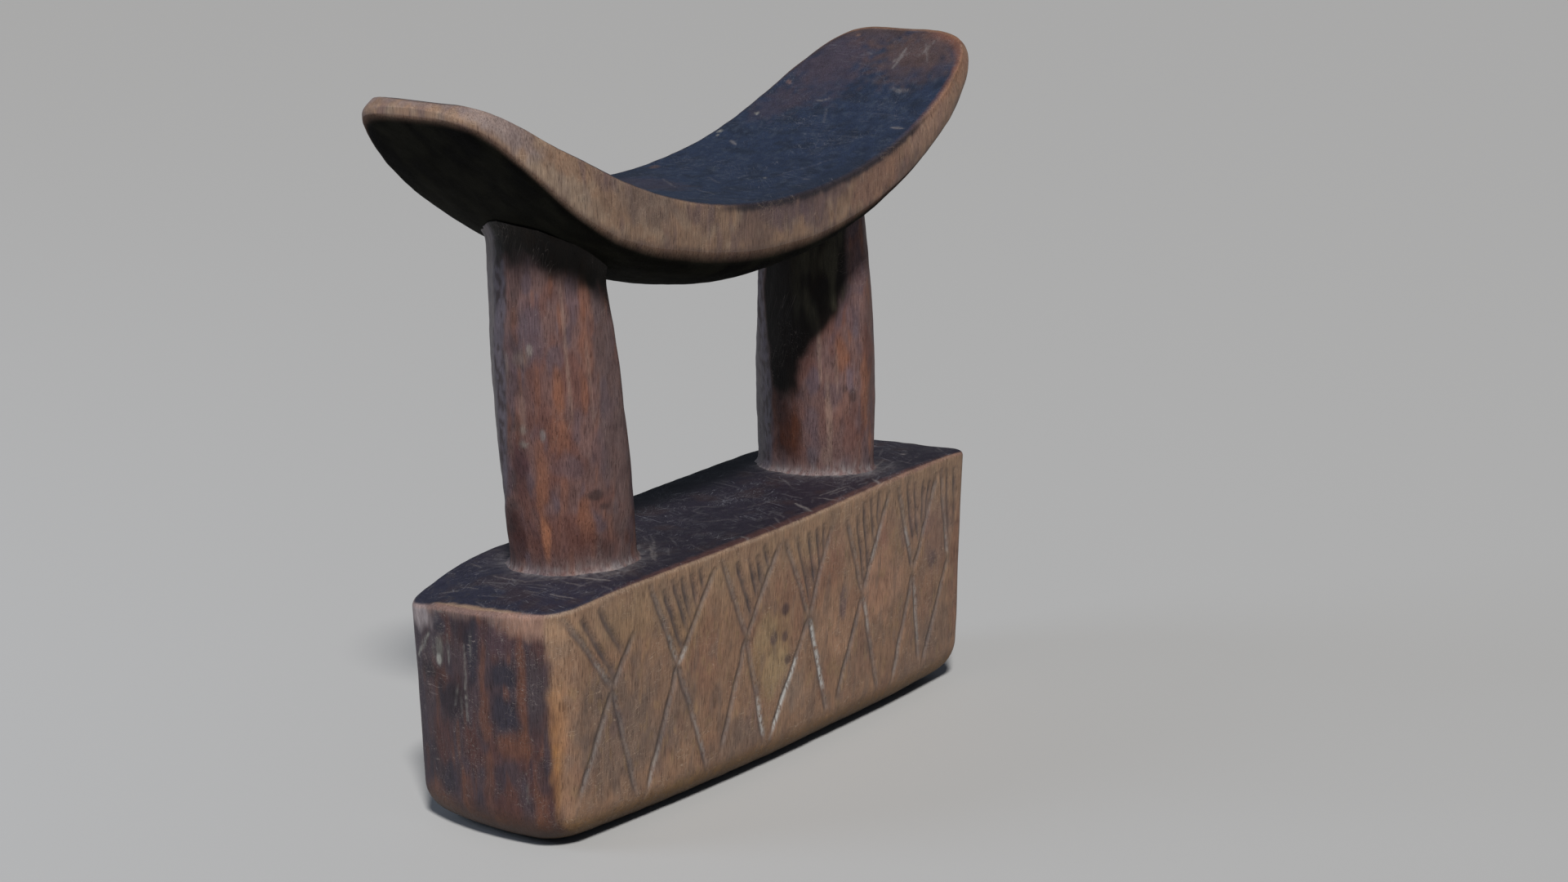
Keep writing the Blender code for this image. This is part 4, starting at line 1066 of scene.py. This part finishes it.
def make_post(side, seed):
    """Shapes, paints and places one post. The seed gives it its own adze marks."""
    foot_at, foot_half, top_at, top_half = POSTS[side]
    around, rows = 220, 180
    turn = np.arange(around) / around * 2 * math.pi
    rise = 0.5 - 0.5 * np.cos(math.pi * (0.10 + 0.80 * np.linspace(0, 1, rows)))
    rise = (rise - rise[0]) / (rise[-1] - rise[0])
    angle, w = (g.ravel() for g in np.meshgrid(turn, rise))
    middle = [foot_at[k] * (1 - w) + top_at[k] * w for k in (0, 1)]
    half = [foot_half[k] * (1 - w) + top_half[k] * w + POST_BELLY * 4 * w * (1 - w) for k in (0, 1)]
    rough_z = 64 + 74 * w
    probe = np.stack([12 * np.cos(angle), 12 * np.sin(angle), rough_z], -1)
    # Adze flats: the surface dips a little between soft upright ridges
    flats = 8
    drift = angle + 0.14 * lumps(probe, (14, 14, 20), seed, 2) + 0.5 * np.sin(1.7 * w + seed)
    phase = (drift * flats / (2 * math.pi)) % 1.0
    scallop = 1.016 - 0.030 * np.sin(phase * math.pi) ** 1.3
    # The sharper ridge that faces the left end, and the flatter face behind it
    heights, degrees = np.array(RIDGES[side]).T
    wobble = 5.0 * lumps(probe * (0, 0, 1), (1, 1, 9), seed + 1, 2)
    ridge = np.radians(np.interp(rough_z, heights, degrees) + wobble)
    past = (angle - ridge + math.pi) % (2 * math.pi) - math.pi
    proud = 0.060 * np.exp(-np.abs(past) / 0.22) - 0.045 * np.exp(-(((past + 0.55) / 0.30) ** 2))
    reach = scallop + proud
    shift = 0.45 if side == "right" else 0.0
    x = middle[0] + half[0] * reach * np.cos(angle) + shift * 4 * w * (1 - w)
    y = middle[1] + half[1] * reach * np.sin(angle)
    low = block_top_z(x, y) - 0.8
    high = under_plate_z(x, y) + 0.8
    z = low * (1 - w) + high * w
    above, below = z - low - 0.8, high - 0.8 - z
    ragged = 1 + 0.55 * lumps(probe * (1, 1, 0), 2.6, seed + 2, 2)
    flare = 2.3 * ragged * np.exp(-np.maximum(above + 0.8, 0) / 1.1)
    flare += 1.8 * np.exp(-np.maximum(below + 0.8, 0) / 2.0)
    x, y = x + flare * np.cos(angle), y + flare * np.sin(angle)
    points = np.stack([x, y, z], -1)
    faces = tube_faces(around, rows)
    out = face_directions(points, faces)
    faces = np.concatenate([faces, tube_ends(around, rows)])
    relief = 0.20 * lumps(points, (8, 8, 14), seed + 3, 2)
    relief += 0.09 * lumps(points, (3.0, 3.0, 6), seed + 4, 2)
    behind = smooth_step(0.02, -0.10, past) * smooth_step(-1.5, -0.8, past)
    relief += 0.10 * behind * lumps(points, (2.4, 2.4, 3.2), seed + 5, 2)
    points = points + out * relief[:, None]

    n = len(points)
    degree = np.degrees(angle)
    mottle = lumps(points, (3.2, 3.2, 6.0), seed + 6, 2)
    paint = np.tile(np.array(POST_WOOD), (n, 1))
    paint = mix(paint, POST_RED, 0.7 * smooth_step(-0.05, 0.4, lumps(points, (5, 5, 11), seed + 7, 2)))
    paint = mix(paint, POST_PURPLE, 0.6 * smooth_step(0.05, 0.45, lumps(points, (4, 4, 9), seed + 8, 2)))
    orange = smooth_step(0.15, 0.5, lumps(points, (2.4, 2.4, 14), seed + 9, 2))
    paint = mix(paint, POST_ORANGE, 0.5 * orange)
    paint = stain(paint, degree, z, mottle, POST_STAINS[side])
    # The face behind the ridge is painted pale grey-lavender: partly its own rougher adzed wood, partly
    # painted rim light
    facet = mix(np.tile(np.array(RIM_LIT_GREY), (n, 1)), POST_PALE, 0.40 * smooth_step(-0.25, -0.65, past))
    speckle = smooth_step(-0.1, 0.4, lumps(points, (1.7, 1.7, 2.6), seed + 11, 2))
    speckle *= smooth_step(-0.7, -0.3, past)
    facet = mix(facet, POST_DARK, 0.85 * speckle)
    paint = paint + (facet - paint) * (0.90 * behind)[:, None]
    edge_dark = np.exp(-(((past - 0.10) / 0.14) ** 2))
    paint = mix(paint, POST_DARK, 0.55 * edge_dark * smooth_step(-0.4, 0.3, mottle))
    if side == "right":
        # Painted shadow: the inner face under the plate, where the plate's shadow falls, is painted near
        # black, with an olive tinge higher up
        reach = np.interp(z, *np.array(SHADOW_REACH).T)
        shadow_zone = smooth_step(8, -6, degree + 6 * mottle - reach)
        shadow_zone *= smooth_step(-0.06, 0.04, past + 0.03 * mottle)
        shadow_zone *= smooth_step(83, 89, z + 1.5 * mottle)
        paint = mix(paint, SHADOW_BLACK, 0.97 * shadow_zone)
        greenish = smooth_step(-0.3, 0.4, lumps(points, (3, 3, 12), seed + 12, 2))
        greenish *= smooth_step(102, 112, z)
        greenish *= smooth_step(180, 205, degree)
        paint = mix(paint, SHADOW_OLIVE, 0.75 * shadow_zone * greenish)
    # Painted shade: each post is painted near black just under the plate, less on the face behind the
    # ridge and, on the right post, less towards its front
    under_plate_shade = smooth_step(12, 4.5, below + 2.5 * mottle) * (1 - 0.7 * smooth_step(-0.15, -0.45, past))
    if side == "right":
        under_plate_shade *= 1 - 0.8 * smooth_step(248, 262, degree)
    paint = mix(paint, POST_SHADE_BLACK, 0.95 * under_plate_shade)
    foot_grey = smooth_step(9, 1, above + 3 * mottle)
    paint = mix(paint, FOOT_MAUVE, 0.35 * foot_grey)
    fringe = 1.6 + 1.3 * np.exp(-(((degree - 225) / 45) ** 2))
    ring = np.exp(-((np.maximum(above, 0) / fringe) ** 2))
    ring *= np.clip(0.45 + 0.9 * lumps(points, (1.2, 1.2, 2.6), seed + 10, 2), 0, 1)
    paint = mix(paint, FRINGE_PALE, 0.85 * ring)
    centre = np.array([base_middle.x, base_middle.y, 0.0]) / MM
    bare = np.zeros(n)
    marks = dict(zip(MARKS, (bare, bare, bare + 0.5)))
    piece = build_piece(f"adzed_{side}_post", points + centre, faces, paint, marks)
    turns = ((1.4, 0, 0.3), (1.2, 0.4, 1.6))
    piece.data.materials.append(wood_finish(f"handled_{side}_post_wood", 0.60, 0.13, turns, 0.25))
    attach(piece, "root")
    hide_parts(f"{side}_post")


make_post("left", 70)
make_post("right", 90)
